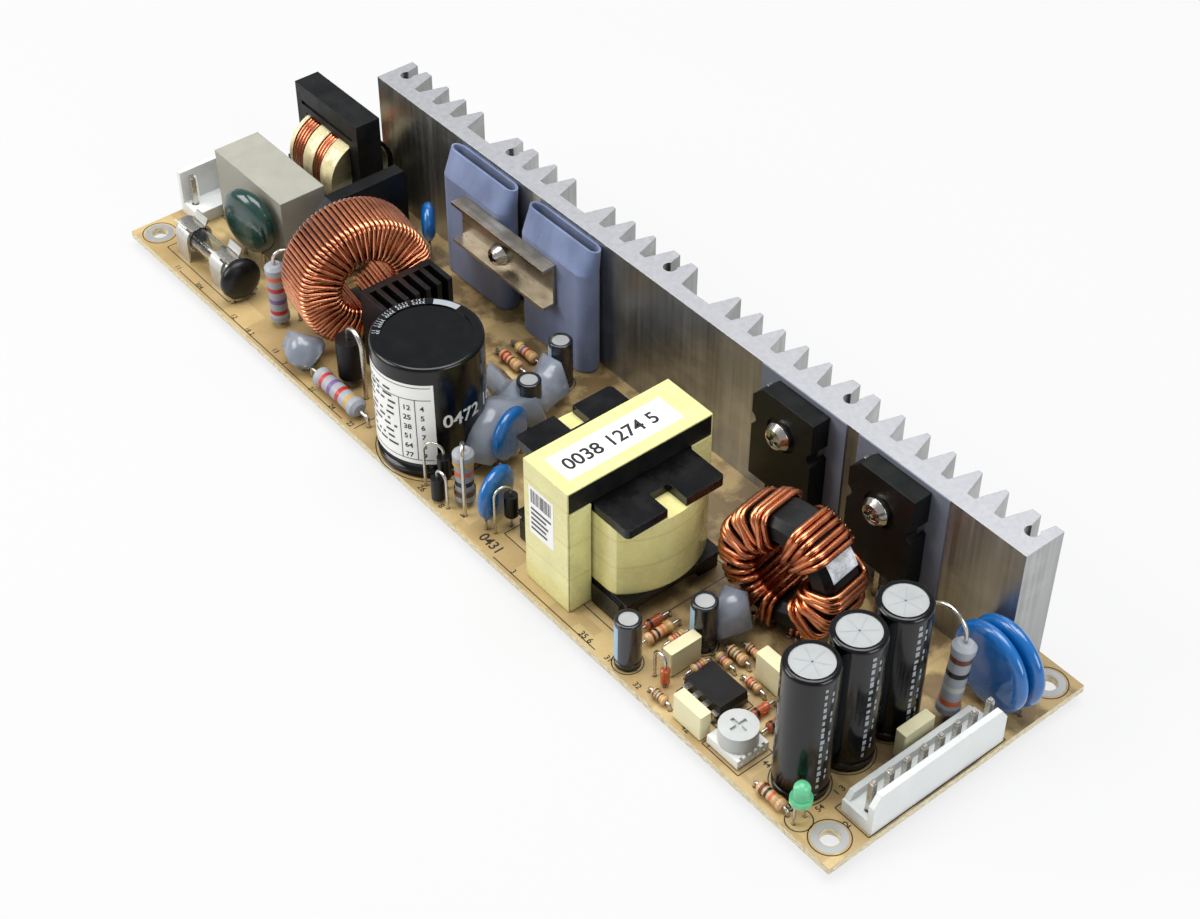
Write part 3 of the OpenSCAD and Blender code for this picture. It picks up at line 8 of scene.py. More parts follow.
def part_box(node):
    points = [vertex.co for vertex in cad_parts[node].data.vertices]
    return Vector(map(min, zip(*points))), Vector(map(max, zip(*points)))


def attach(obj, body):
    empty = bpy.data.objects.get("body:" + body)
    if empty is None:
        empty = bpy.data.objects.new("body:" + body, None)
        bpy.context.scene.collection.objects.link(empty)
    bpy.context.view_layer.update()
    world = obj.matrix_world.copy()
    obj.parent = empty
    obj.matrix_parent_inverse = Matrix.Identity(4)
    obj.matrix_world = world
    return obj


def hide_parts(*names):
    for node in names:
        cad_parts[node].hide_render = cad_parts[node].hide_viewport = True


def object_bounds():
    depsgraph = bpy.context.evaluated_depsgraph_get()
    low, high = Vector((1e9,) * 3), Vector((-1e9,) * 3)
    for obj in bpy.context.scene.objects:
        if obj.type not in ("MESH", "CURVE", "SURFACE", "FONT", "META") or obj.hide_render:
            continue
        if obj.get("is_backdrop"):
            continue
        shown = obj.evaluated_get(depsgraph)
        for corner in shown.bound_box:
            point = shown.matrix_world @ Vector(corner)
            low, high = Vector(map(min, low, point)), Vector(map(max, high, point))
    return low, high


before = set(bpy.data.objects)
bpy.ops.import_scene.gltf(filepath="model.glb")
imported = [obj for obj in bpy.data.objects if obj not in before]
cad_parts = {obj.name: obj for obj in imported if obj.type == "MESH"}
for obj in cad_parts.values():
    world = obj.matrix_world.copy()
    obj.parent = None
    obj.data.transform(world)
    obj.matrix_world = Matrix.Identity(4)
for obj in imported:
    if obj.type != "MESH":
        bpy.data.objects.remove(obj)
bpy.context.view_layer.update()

random.seed(7)

BODY = "supply"
MM = 0.001
BOARD_TOP = 3.6        # height of the board's upper face above the solder tips, in mm
HOLES = [(x, y) for x in (-106.5, 106.5) for y in (-26.5, 26.5)]    # mounting holes, in mm
OUT_CANS = [(94.8, -22.2), (94.8, -11.7), (94.8, -1.2)]
SMALL_CANS = [(56, -27.6), (61.2, -14.4), (-10.7, 10.5), (-5.2, -1.8)]
WIRE_SIDES = 3         # steps in a quarter of a wire's section
BOLDER = 0.018         # widening of the digits, as a share of their size


def at(x, y, z=0.0):
    """A point given in millimetres over the board's upper face."""
    return Vector((x * MM, y * MM, (z + BOARD_TOP) * MM))


def middle(node):
    low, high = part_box(node)
    return (Vector(low) + Vector(high)) / 2


# ------------------------------------------------------------------ materials

def rgb(r, g, b):
    """sRGB 0-255 to the linear colour a shader takes."""
    def linear(v):
        v /= 255
        return v / 12.92 if v <= 0.04045 else ((v + 0.055) / 1.055) ** 2.4
    return (linear(r), linear(g), linear(b), 1.0)


class Shader:
    """A principled material whose colour, roughness and relief come from procedural nodes."""

    def __init__(self, name, rough=0.5, metal=0.0, **sockets):
        self.mat = bpy.data.materials.new(name)
        self.mat.use_nodes = True
        self.tree = self.mat.node_tree
        self.bsdf = self.tree.nodes["Principled BSDF"]
        self.set(self.bsdf, "Roughness", rough)
        self.set(self.bsdf, "Metallic", metal)
        for key, value in sockets.items():
            self.set(self.bsdf, key.replace("_", " "), value)
        self.coord = self.tree.nodes.new("ShaderNodeTexCoord").outputs["Object"]

    def set(self, node, socket, value):
        node.inputs[socket].default_value = value

    def link(self, a, b):
        self.tree.links.new(a, b)

    def node(self, kind, **inputs):
        n = self.tree.nodes.new(kind)
        for key, value in inputs.items():
            socket = n.inputs[key.replace("_", " ")]
            if isinstance(value, bpy.types.NodeSocket):
                self.link(value, socket)
            else:
                socket.default_value = value
        return n

    def stretched(self, sx, sy, sz):
        n = self.node("ShaderNodeMapping", Vector=self.coord, Scale=(sx, sy, sz))
        return n.outputs["Vector"]

    def noise(self, scale, detail=4.0, vector=None, rough=0.55):
        n = self.node("ShaderNodeTexNoise", Vector=vector or self.coord, Scale=scale,
                      Detail=detail, Roughness=rough)
        return n.outputs["Fac"]

    def ramp(self, fac, low, high, to_low=0.0, to_high=1.0):
        n = self.node("ShaderNodeMapRange", Value=fac)
        self.set(n, "From Min", low)
        self.set(n, "From Max", high)
        self.set(n, "To Min", to_low)
        self.set(n, "To Max", to_high)
        return n.outputs["Result"]

    def mix(self, fac, a, b):
        n = self.tree.nodes.new("ShaderNodeMix")
        n.data_type = "RGBA"
        for socket, value in ((n.inputs[0], fac), (n.inputs[6], a), (n.inputs[7], b)):
            if isinstance(value, bpy.types.NodeSocket):
                self.link(value, socket)
            else:
                socket.default_value = value
        return n.outputs[2]

    def math(self, op, a, b=0.5):
        n = self.tree.nodes.new("ShaderNodeMath")
        n.operation = op
        for socket, value in zip(n.inputs, (a, b)):
            if isinstance(value, bpy.types.NodeSocket):
                self.link(value, socket)
            else:
                socket.default_value = value
        return n.outputs[0]

    def axes(self, source="position"):
        if source == "position":
            vector = self.coord
        else:
            vector = self.node("ShaderNodeNewGeometry").outputs["Normal"]
        n = self.node("ShaderNodeSeparateXYZ", Vector=vector)
        return n.outputs

    def colour(self, socket):
        self.link(socket, self.bsdf.inputs["Base Color"])

    def roughness(self, socket):
        self.link(socket, self.bsdf.inputs["Roughness"])

    def bump(self, height, strength=0.2, distance=0.0002, edge=0.0):
        n = self.node("ShaderNodeBump", Height=height, Strength=strength, Distance=distance)
        if edge:
            rounded = self.tree.nodes.new("ShaderNodeBevel")
            rounded.samples = 4
            self.set(rounded, "Radius", edge)
            self.link(rounded.outputs["Normal"], n.inputs["Normal"])
        self.link(n.outputs["Normal"], self.bsdf.inputs["Normal"])


def shade(c, k):
    return (c[0] * k, c[1] * k, c[2] * k, 1.0)


def plain(name, base, rough=0.45, metal=0.0, tint=0.12, scale=260, grain=2500, relief=0.12,
          spread=0.1, edge=0.0, **sockets):
    """Moulded or coated surface: broad tint, fine grain, uneven gloss."""
    s = Shader(name, rough, metal, **sockets)
    broad = s.noise(scale, 5)
    fine = s.noise(grain, 3)
    both = s.math("ADD", s.math("MULTIPLY", broad, 0.75), s.math("MULTIPLY", fine, 0.25))
    s.colour(s.mix(s.ramp(both, 0.3, 0.7), shade(base, 1 - tint), shade(base, 1 + tint)))
    s.roughness(s.ramp(broad, 0.3, 0.7, max(0.02, rough - spread), min(1.0, rough + spread)))
    s.bump(fine, relief, 0.0001, edge)
    return s.mat


def board_shader():
    """Tan laminate above, green mask below, pale fibres at the cut edges."""
    s = Shader("board_laminate", 0.42, Coat_Weight=0.25, Coat_Roughness=0.25)
    tan, pale, dark = rgb(178, 150, 98), rgb(202, 178, 126), rgb(120, 92, 52)
    # Copper tracks on the far side show through the laminate as slightly darker areas
    flat = s.stretched(1, 1, 0)
    tracks = s.node("ShaderNodeTexVoronoi", Vector=flat, Scale=95.0)
    tracks.distance = "CHEBYCHEV"
    track = s.ramp(tracks.outputs["Distance"], 0.36, 0.4)
    weave = s.noise(1700, 2, s.stretched(1, 3.5, 1))
    base = s.mix(s.ramp(s.noise(60, 5), 0.35, 0.65), tan, pale)
    base = s.mix(s.math("MULTIPLY", track, 0.28), base, dark)
    base = s.mix(s.math("MULTIPLY", s.ramp(weave, 0.45, 0.75), 0.22), base, dark)
    stain = s.ramp(s.noise(38, 6), 0.6, 0.78)
    base = s.mix(s.math("MULTIPLY", stain, 0.3), base, rgb(120, 92, 56))
    # Partly painted shade between the crowded parts and partly dark varnish: blotches darken the
    # middle of the board, behind the paler front strip
    inner = s.ramp(s.axes()[1], -0.022, -0.010)
    shade_and_varnish_blots = s.ramp(s.noise(170, 5), 0.44, 0.56)
    base = s.mix(s.math("MULTIPLY", s.math("MULTIPLY", inner, shade_and_varnish_blots), 0.72), base,
                 rgb(84, 60, 30))
    normal = s.axes("normal")
    under = s.math("LESS_THAN", normal[2], -0.5)
    copper = s.node("ShaderNodeTexVoronoi", Vector=flat, Scale=120.0)
    copper.distance = "MANHATTAN"
    mask = s.mix(s.ramp(copper.outputs["Distance"], 0.42, 0.46), rgb(58, 96, 52), rgb(36, 70, 40))
    base = s.mix(under, base, mask)
    side = s.math("LESS_THAN", s.math("ABSOLUTE", normal[2]), 0.5)
    fibres = s.mix(s.ramp(s.noise(900, 4, s.stretched(1, 1, 4)), 0.35, 0.65),
                   rgb(226, 218, 190), rgb(178, 158, 112))
    s.colour(s.mix(side, base, fibres))
    s.bump(weave, 0.15, 0.00008)
    return s.mat


def extruded_shader():
    """Milled aluminium: lines along the extrusion, with painted reflections as broad darker
    brownish patches and a paler sheen.
    """
    s = Shader("extruded_aluminium", 0.4, 1.0)
    lines = s.noise(900, 5, s.stretched(1, 1, 0.03))
    broad = s.noise(45, 5, s.stretched(1, 1, 0.5))
    painted_sheen = s.noise(110, 5, s.stretched(1, 1, 1.6))
    tone = s.mix(s.ramp(lines, 0.3, 0.7), rgb(150, 152, 152), rgb(182, 184, 184))
    # Painted reflection: broad darker, brownish patches on the drawn faces
    tone = s.mix(s.math("MULTIPLY", s.ramp(broad, 0.4, 0.66), 0.5), tone, rgb(104, 104, 98))
    # Painted highlight: paler patches of sheen on the drawn faces
    tone = s.mix(s.math("MULTIPLY", s.ramp(painted_sheen, 0.5, 0.72), 0.35), tone, rgb(206, 206, 204))
    # Sawn upper end: even, pale and duller than the drawn sides
    sawn = s.mix(s.ramp(s.noise(900, 3), 0.3, 0.7), rgb(182, 183, 186), rgb(192, 193, 196))
    top = s.ramp(s.axes("normal")[2], 0.6, 0.8)
    s.colour(s.mix(top, tone, sawn))
    gloss = s.ramp(lines, 0.3, 0.7, 0.32, 0.44)
    s.roughness(s.math("ADD", gloss, s.math("MULTIPLY", top, 0.22)))
    s.bump(lines, 0.1, 0.00005, 0.00012)
    return s.mat


def bright_shader(name, base, rough=0.22):
    """Plated or polished metal with a faint haze."""
    s = Shader(name, rough, 1.0)
    fine = s.noise(2400, 4)
    s.colour(s.mix(s.ramp(s.noise(420, 4), 0.35, 0.7), shade(base, 0.86), base))
    s.roughness(s.ramp(fine, 0.3, 0.7, rough * 0.8, rough * 1.3))
    s.bump(fine, 0.04, 0.00004, 0.00008)
    return s.mat


def steel_shader():
    """Rolled sheet, with its lines along X."""
    s = Shader("clip_sheet_steel", 0.36, 1.0)
    lines = s.noise(1200, 4, s.stretched(0.04, 1, 1))
    s.colour(s.mix(s.ramp(s.noise(160, 5), 0.35, 0.7), rgb(150, 142, 128), rgb(205, 198, 184)))
    s.roughness(s.ramp(lines, 0.3, 0.7, 0.26, 0.46))
    s.bump(lines, 0.15, 0.00006, 0.00012)
    return s.mat


def enamel_shader(name, base, deep):
    """Copper under a clear coloured enamel."""
    s = Shader(name, 0.3, 1.0, Coat_Weight=0.9, Coat_Roughness=0.12)
    broad = s.noise(110, 3)
    s.colour(s.mix(s.ramp(broad, 0.3, 0.62), deep, base))
    s.roughness(s.ramp(s.noise(500, 3), 0.3, 0.7, 0.22, 0.32))
    s.bump(s.noise(3000, 2), 0.06, 0.00003)
    return s.mat


def tape_shader(name, base, lap, turns):
    """Glossy wrapping tape with the edges of its laps showing as thin darker lines."""
    s = Shader(name, 0.22, Coat_Weight=0.35, Coat_Roughness=0.1, Subsurface_Weight=0.12,
               Subsurface_Radius=(0.001, 0.0008, 0.0004), Subsurface_Scale=0.5)
    z = s.axes()[2]
    wobble = s.math("MULTIPLY", s.noise(45, 3), 0.0009)
    saw = s.math("FRACT", s.math("MULTIPLY", s.math("ADD", z, wobble), turns))
    edge = s.ramp(s.math("ABSOLUTE", s.math("SUBTRACT", saw, 0.5)), 0.0, 0.05, 1.0, 0.0)
    tone = s.mix(s.ramp(s.noise(150, 5), 0.35, 0.68), shade(base, 0.86), base)
    # Varnish that ran out and browned
    run = s.ramp(s.noise(60, 6, s.stretched(1.4, 1.4, 0.5)), 0.62, 0.74)
    tone = s.mix(s.math("MULTIPLY", run, 0.5), tone, rgb(190, 134, 62))
    s.colour(s.mix(s.math("MULTIPLY", edge, 0.45), tone, lap))
    s.roughness(s.ramp(s.noise(500, 3), 0.3, 0.7, 0.16, 0.34))
    s.bump(s.math("ADD", saw, s.noise(300, 3)), 0.3, 0.00012, 0.0003)
    return s.mat


def rubber_shader():
    """Silicone sleeve: dull blue grey with paler rubbed places."""
    s = Shader("sleeve_silicone", 0.55, Sheen_Weight=0.25, Subsurface_Weight=0.1,
               Subsurface_Radius=(0.0006, 0.0007, 0.001))
    broad = s.noise(90, 5, s.stretched(1, 1, 0.5))
    tone = s.mix(s.ramp(broad, 0.35, 0.68), rgb(84, 98, 132), rgb(118, 132, 168))
    dust = s.ramp(s.noise(1500, 4), 0.64, 0.8)
    s.colour(s.mix(s.math("MULTIPLY", dust, 0.3), tone, rgb(190, 198, 214)))
    s.roughness(s.ramp(broad, 0.3, 0.7, 0.42, 0.66))
    s.bump(s.math("ADD", s.noise(260, 3), s.math("MULTIPLY", s.noise(2600, 3), 0.3)), 0.25,
           0.0003, 0.0002)
    return s.mat


def glass_shader(name, base, rough=0.04, transmission=1.0):
    s = Shader(name, rough, IOR=1.47, Transmission_Weight=transmission)
    s.colour(s.mix(s.ramp(s.noise(300, 3), 0.3, 0.7), base, shade(base, 0.93)))
    s.roughness(s.ramp(s.noise(700, 4), 0.45, 0.75, rough, rough + 0.1))
    s.bump(s.noise(500, 2), 0.05, 0.00004)
    return s.mat


def silicone_shader():
    """Cloudy neutral-cure sealant."""
    s = Shader("silicone_lump", 0.2, Transmission_Weight=0.45, IOR=1.41, Subsurface_Weight=0.4,
               Subsurface_Radius=(0.0016, 0.002, 0.0028), Coat_Weight=0.5, Coat_Roughness=0.12)
    broad = s.noise(120, 3)
    s.colour(s.mix(s.ramp(broad, 0.35, 0.7), rgb(150, 160, 176), rgb(190, 197, 208)))
    s.roughness(s.ramp(s.noise(400, 3), 0.3, 0.7, 0.14, 0.28))
    s.bump(s.noise(260, 2), 0.12, 0.0002)
    return s.mat


def ferrite_shader():
    """Sintered or lacquered black core with small pale chips."""
    s = Shader("ferrite", 0.5, Specular_IOR_Level=0.3)
    broad = s.noise(220, 5)
    chips = s.ramp(s.noise(1900, 5), 0.6, 0.72)
    tone = s.mix(s.ramp(broad, 0.35, 0.7), rgb(5, 6, 6), rgb(15, 16, 16))
    s.colour(s.mix(s.math("MULTIPLY", chips, 0.25), tone, rgb(70, 72, 72)))
    s.roughness(s.ramp(broad, 0.3, 0.7, 0.36, 0.62))
    s.bump(s.noise(2200, 4), 0.3, 0.00012, 0.0002)
    return s.mat


MATS = {
    "board": board_shader(),
    "ink": plain("board_ink", rgb(40, 33, 26), 0.6, tint=0.3, grain=5000),
    "solder": bright_shader("solder", rgb(206, 206, 206), 0.24),
    "sink": extruded_shader(),
    "screw": bright_shader("plated_screw", rgb(214, 210, 202), 0.2),
    "clip": steel_shader(),
    "sleeve": rubber_shader(),
    "package": plain("epoxy_black", rgb(11, 12, 12), 0.4, tint=0.22, relief=0.3, edge=0.0002,
                     Specular_IOR_Level=0.28),
    "tinned": bright_shader("tinned_wire", rgb(202, 198, 190), 0.26),
    "spring": bright_shader("spring_sheet", rgb(214, 214, 210), 0.42),
    "pad": plain("thermal_pad", rgb(106, 110, 122), 0.78, tint=0.1, relief=0.3),
    "nylon": plain("white_nylon", rgb(218, 221, 219), 0.4, tint=0.05, edge=0.0002,
                   Subsurface_Weight=0.15, Subsurface_Radius=(0.001, 0.0009, 0.0007)),
    "glass": glass_shader("fuse_glass", (0.93, 0.97, 0.95, 1.0)),
    "thermistor": plain("thermistor_coat", rgb(9, 10, 10), 0.34, relief=0.5, grain=1500,
                        Specular_IOR_Level=0.35),
    "varistor": plain("varistor_coat", rgb(20, 56, 49), 0.24, tint=0.2, relief=0.4, grain=700,
                      Coat_Weight=0.5, Coat_Roughness=0.1),
    "xcap": plain("capacitor_case", rgb(154, 153, 142), 0.5, tint=0.06, relief=0.3, edge=0.0003),
    "ferrite": ferrite_shader(),
    "bobbin": plain("bobbin_resin", rgb(7, 7, 8), 0.26, tint=0.25, relief=0.2, edge=0.0002,
                    Specular_IOR_Level=0.35),
    "pfc_wire": enamel_shader("choke_enamel", rgb(240, 156, 108), rgb(176, 92, 52)),
    "choke_wire": enamel_shader("output_enamel", rgb(232, 142, 92), rgb(156, 78, 40)),
    "filter_wire": enamel_shader("filter_enamel", rgb(232, 142, 96), rgb(160, 78, 42)),
    "filter_tape": tape_shader("filter_tape", rgb(226, 214, 168), rgb(160, 140, 84), 700),
    "core_tape": tape_shader("core_tape", rgb(226, 220, 152), rgb(184, 172, 96), 120),
    "winding_tape": tape_shader("winding_tape", rgb(230, 221, 150), rgb(176, 158, 84), 150),
    "core_grey": plain("core_paint", rgb(52, 52, 48), 0.5, relief=0.3),
    "comb": plain("black_anodised", rgb(14, 14, 15), 0.4, 0.4, tint=0.25, relief=0.2,
                  edge=0.0002),
    "can": plain("can_sleeve", rgb(4, 5, 6), 0.2, tint=0.3, relief=0.05, Coat_Weight=0.2,
                 Coat_Roughness=0.06, Specular_IOR_Level=0.3),
    "small_can": plain("small_can_sleeve", rgb(16, 20, 28), 0.26, tint=0.2, Coat_Weight=0.5,
                       Coat_Roughness=0.1),
    "blue": plain("ceramic_blue", rgb(2, 92, 160), 0.24, tint=0.16, scale=180, relief=0.35,
                  grain=500, Coat_Weight=0.7, Coat_Roughness=0.08),
    "grey_body": plain("resistor_grey", rgb(148, 152, 158), 0.42, tint=0.08, relief=0.15),
    "tan_body": plain("resistor_tan", rgb(200, 158, 112), 0.38, tint=0.12, relief=0.1,
                      Coat_Weight=0.3),
    "diode_glass": glass_shader("diode_glass", (0.75, 0.2, 0.08, 1.0), 0.06, 0.6),
    "film": plain("film_box", rgb(222, 215, 174), 0.42, tint=0.06, edge=0.0002),
    "trimmer": plain("trimmer_base", rgb(228, 228, 224), 0.4, tint=0.04, edge=0.0001),
    "rotor": plain("trimmer_rotor", rgb(186, 189, 186), 0.4, tint=0.06, edge=0.0002),
    "led": glass_shader("led_resin", (0.25, 0.85, 0.5, 1.0), 0.1, 0.55),
    "silicone": silicone_shader(),
    "paper": plain("label_paper", rgb(236, 236, 233), 0.38, tint=0.03, relief=0.1),
    "silver": plain("label_foil", rgb(226, 228, 230), 0.34, 0.3, tint=0.6, scale=420, relief=0.2),
    "white_ink": plain("white_ink", rgb(216, 218, 218), 0.5, tint=0.08),
    "black_ink": plain("black_ink", rgb(22, 22, 24), 0.5, tint=0.2),
    "grey_ink": plain("grey_ink", rgb(150, 156, 160), 0.45, tint=0.1),
    "pale_blue_ink": plain("pale_blue_ink", rgb(150, 182, 206), 0.45, tint=0.08),
    "lid": plain("can_lid", rgb(168, 170, 170), 0.5, 0.55, tint=0.06, relief=0.04, grain=1800)
}

BAND_COLOURS = {
    "brown": rgb(96, 48, 24), "red": rgb(176, 44, 34), "orange": rgb(200, 98, 48),
    "violet": rgb(112, 84, 132), "black": rgb(22, 22, 22), "gold": rgb(176, 140, 70),
    "yellow": rgb(214, 190, 110), "green": rgb(50, 110, 70), "grey": rgb(176, 182, 176)
}
for key, value in BAND_COLOURS.items():
    MATS["band_" + key] = plain("band_" + key, value, 0.4, tint=0.12)

NODE_MATS = {
    "circuit_board": "board", "solder_joints": "solder", "heat_sink": "sink",
    "heat_sink_screws": "screw", "sleeve_1": "sleeve", "sleeve_2": "sleeve",
    "power_transistors": "package", "transistor_frames": "tinned", "clip_bar": "clip",
    "clip_screw": "screw", "thermal_pads": "pad", "output_rectifier_1": "package",
    "output_rectifier_2": "package", "rectifier_frames": "tinned", "rectifier_screws": "screw",
    "inlet_header": "nylon", "output_header": "nylon", "connector_pins": "tinned",
    "fuse_tube": "glass", "fuse_caps": "tinned", "fuse_clips": "spring",
    "thermistor": "thermistor", "varistor": "varistor", "x_capacitor": "xcap",
    "filter_core": "ferrite", "filter_bobbin": "bobbin", "filter_tape": "filter_tape",
    "bridge_rectifier": "package", "pfc_core": "core_grey", "small_heat_sink": "comb",
    "bulk_capacitor": "can", "ceramic_capacitors": "blue", "power_resistors": "grey_body",
    "standing_diodes": "package", "component_leads": "tinned", "looped_leads": "tinned",
    "axial_leads": "tinned", "small_capacitors": "small_can", "transformer_core": "ferrite",
    "transformer_tape": "core_tape", "transformer_bobbin": "bobbin",
    "transformer_winding": "winding_tape", "transformer_pins": "tinned",
    "choke_core": "ferrite", "output_capacitor_1": "can", "output_capacitor_2": "can",
    "output_capacitor_3": "can", "film_capacitors": "film", "control_ic": "package",
    "ic_pins": "tinned", "small_resistors": "tan_body", "glass_diodes": "diode_glass",
    "trimmer_base": "trimmer", "trimmer_rotor": "rotor", "led": "led"
}
for name, key in NODE_MATS.items():
    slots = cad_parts[name].data.materials
    for i in range(len(slots)):
        slots[i] = MATS[key]
    if not len(slots):
        slots.append(MATS[key])


# ------------------------------------------------------------------ making pieces

def placed(obj, mat, slot, replaces=()):
    bpy.context.collection.objects.link(obj)
    obj.data.materials.append(MATS[mat])
    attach(obj, BODY)
    if replaces:
        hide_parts(*replaces)
    return obj


def mesh_piece(name, verts, faces, mat, slot, smooth=False, replaces=()):
    data = bpy.data.meshes.new(name)
    data.from_pydata([tuple(v) for v in verts], [], faces)
    data.update()
    if smooth:
        data.polygons.foreach_set("use_smooth", [True] * len(data.polygons))
    return placed(bpy.data.objects.new(name, data), mat, slot, replaces)


def tubes(name, paths, radius, mat, slot, replaces=()):
    """Round wires, each along its own list of points."""
    data = bpy.data.curves.new(name, "CURVE")
    data.dimensions = "3D"
    data.bevel_depth = radius
    data.bevel_resolution = WIRE_SIDES
    data.use_fill_caps = True
    for points in paths:
        spline = data.splines.new("POLY")
        spline.points.add(len(points) - 1)
        for p, v in zip(spline.points, points):
            p.co = (v[0], v[1], v[2], 1.0)
        spline.use_smooth = True
    return placed(bpy.data.objects.new(name, data), mat, slot, replaces)


class Flat:
    """Gathers thin shapes that lie on a surface. place maps (u, v) in millimetres to a point."""

    def __init__(self, place):
        self.place, self.verts, self.faces = place, [], []

    def quad(self, u0, v0, u1, v1, steps=1):
        for i in range(steps):
            a = u0 + (u1 - u0) * i / steps
            b = u0 + (u1 - u0) * (i + 1) / steps
            n = len(self.verts)
            self.verts += [self.place(a, v0), self.place(b, v0), self.place(b, v1),
                           self.place(a, v1)]
            self.faces.append((n, n + 1, n + 2, n + 3))

    def line(self, u0, v0, u1, v1, w):
        d = Vector((u1 - u0, v1 - v0))
        side = Vector((-d.y, d.x)).normalized() * w / 2
        n = len(self.verts)
        for u, v in ((u0 - side.x, v0 - side.y), (u1 - side.x, v1 - side.y),
                     (u1 + side.x, v1 + side.y), (u0 + side.x, v0 + side.y)):
            self.verts.append(self.place(u, v))
        self.faces.append((n, n + 1, n + 2, n + 3))

    def frame(self, u0, v0, u1, v1, w):
        self.line(u0, v0, u1, v0, w)
        self.line(u1, v0, u1, v1, w)
        self.line(u1, v1, u0, v1, w)
        self.line(u0, v1, u0, v0, w)

    def ring(self, u, v, r, w, a0=0, a1=360, steps=40):
        n = len(self.verts)
        for i in range(steps + 1):
            a = math.radians(a0 + (a1 - a0) * i / steps)
            for k in (r - w / 2, r + w / 2):
                self.verts.append(self.place(u + k * math.cos(a), v + k * math.sin(a)))
        self.faces += [(n + 2 * i, n + 2 * i + 1, n + 2 * i + 3, n + 2 * i + 2)
                       for i in range(steps)]

    def disc(self, u, v, r, steps=32):
        n = len(self.verts)
        for i in range(steps):
            a = 2 * math.pi * i / steps
            self.verts.append(self.place(u + r * math.cos(a), v + r * math.sin(a)))
        self.faces.append(tuple(range(n, n + steps)))

    def words(self, text, u, v, size, turn=0.0):
        """Digits with their lower left corner at (u, v), a little bolder than the plain face."""
        curve = bpy.data.curves.new("digits", "FONT")
        curve.body = text
        curve.size = size
        curve.offset = size * BOLDER
        obj = bpy.data.objects.new("digits", curve)
        bpy.context.collection.objects.link(obj)
        bpy.context.view_layer.update()
        shape = obj.evaluated_get(bpy.context.evaluated_depsgraph_get()).to_mesh()
        c, s = math.cos(math.radians(turn)), math.sin(math.radians(turn))
        n = len(self.verts)
        for p in shape.vertices:
            x, y = p.co.x, p.co.y
            self.verts.append(self.place(u + x * c - y * s, v + x * s + y * c))
        self.faces += [tuple(n + i for i in f.vertices) for f in shape.polygons]
        bpy.data.objects.remove(obj)
        bpy.data.curves.remove(curve)

    def piece(self, name, mat, slot):
        return mesh_piece(name, self.verts, self.faces, mat, slot)


def on_plane(origin, u_axis, v_axis, lift=0.03):
    """Surface that a flat mark lies on, a little proud of it."""
    o, a, b = Vector(origin), Vector(u_axis).normalized(), Vector(v_axis).normalized()
    n = a.cross(b)
    return lambda u, v: o + (a * u + b * v + n * lift) * MM


def on_can(centre, radius, lift=0.03):
    """Surface of an upright can: u is millimetres round it from -Y towards +X, v is height."""
    def place(u, v):
        a = u / radius - math.pi / 2
        r = (radius + lift) * MM
        return Vector((centre.x + r * math.cos(a), centre.y + r * math.sin(a),
                       centre.z + v * MM))
    return place


# ------------------------------------------------------------------ windings on toroids

def rounded_section(bore_r, rim_r, half, bevel, lift, steps):
    """Points round a toroid's section as (radius, height): rim, one face, bore, other face."""
    b = min(bevel, half * 0.9)
    corners = [(rim_r, half - b), (rim_r, -half + b), (rim_r - b, -half),
               (bore_r + b, -half - lift), (bore_r, -half + b - lift * 0.3),
               (bore_r, half - b + lift * 0.3), (bore_r + b, half + lift), (rim_r - b, half)]
    out = []
    n = len(corners)
    for i, p in enumerate(corners):
        q = corners[(i + 1) % n]
        straight = i % 2 == 0
        count = 2 if straight else steps
        for k in range(count):
            t = k / count
            if straight:
                out.append((p[0] + (q[0] - p[0]) * t, p[1] + (q[1] - p[1]) * t))
            else:
                # quarter turn between two straight stretches, round the corner point
                corner = (p[0], q[1]) if abs(p[0] - corners[i - 1][0]) < 1e-6 else (q[0], p[1])
                a = (1 - t) ** 2
                c = t ** 2
                m = 2 * t * (1 - t)
                out.append((a * p[0] + m * corner[0] + c * q[0],
                            a * p[1] + m * corner[1] + c * q[1]))
    return out


def upright(centre, turn):
    """Toroid coordinates to the row's: its axis Z goes to X, then everything turns about Z."""
    spin = Matrix.Rotation(math.radians(turn), 4, "Z") @ Matrix.Rotation(math.pi / 2, 4, "Y")
    return lambda x, y, z: centre + spin @ (Vector((x, y, z)) * MM)


def toroid_wire(place, turns, start, step, sections, jitter=0.0, angle_of=None):
    """One wire wound round a toroid; sections gives the path of each turn in rotation."""
    points = []
    for i in range(turns):
        path = sections[i % len(sections)]
        wander = random.uniform(-jitter, jitter)
        for k, (r, z) in enumerate(path):
            f = i + k / len(path)
            a = math.radians(angle_of(f) if angle_of else start + f * step)
            a += wander * math.sin(math.pi * k / len(path)) / r
            points.append(place(r * math.cos(a), r * math.sin(a), z))
    return points


def down_to(point, z):
    """The end of a wire that turns straight down."""
    return [Vector((point.x, point.y, point.z - (point.z - z) * t)) for t in (0.3, 0.6, 1.0)]


PFC = {"turn": -10, "outer": 27.6, "bore": 15.0, "thick": 10.4, "wire": 0.86, "turns": 76,
       "open": 24}
CHOKE = {"turn": -82, "outer": 25.0, "bore": 13.6, "thick": 9.0, "wire": 1.1, "turns": 12}
AIR = 0.12

pfc_place = upright(middle("pfc_core"), PFC["turn"])
rim = PFC["outer"] / 2 + AIR + PFC["wire"] / 2
half = PFC["thick"] / 2 + AIR + PFC["wire"] / 2
inner = PFC["bore"] / 2 - AIR - PFC["wire"] / 2
low_path = rounded_section(inner, rim, half, 1.6, 0.0, 5)
high_path = rounded_section(inner - PFC["wire"] - 0.05, rim, half, 1.6, PFC["wire"] * 0.95, 5)
step = (360 - PFC["open"]) / PFC["turns"]
wire = toroid_wire(pfc_place, PFC["turns"], PFC["open"] / 2, step, [low_path, high_path], 0.16)
board_z = BOARD_TOP * MM
wire = down_to(wire[0], board_z)[::-1] + wire + down_to(wire[-1], board_z)
tubes("pfc_wire", [wire], PFC["wire"] / 2 * MM, "pfc_wire", "copper", ["pfc_winding"])


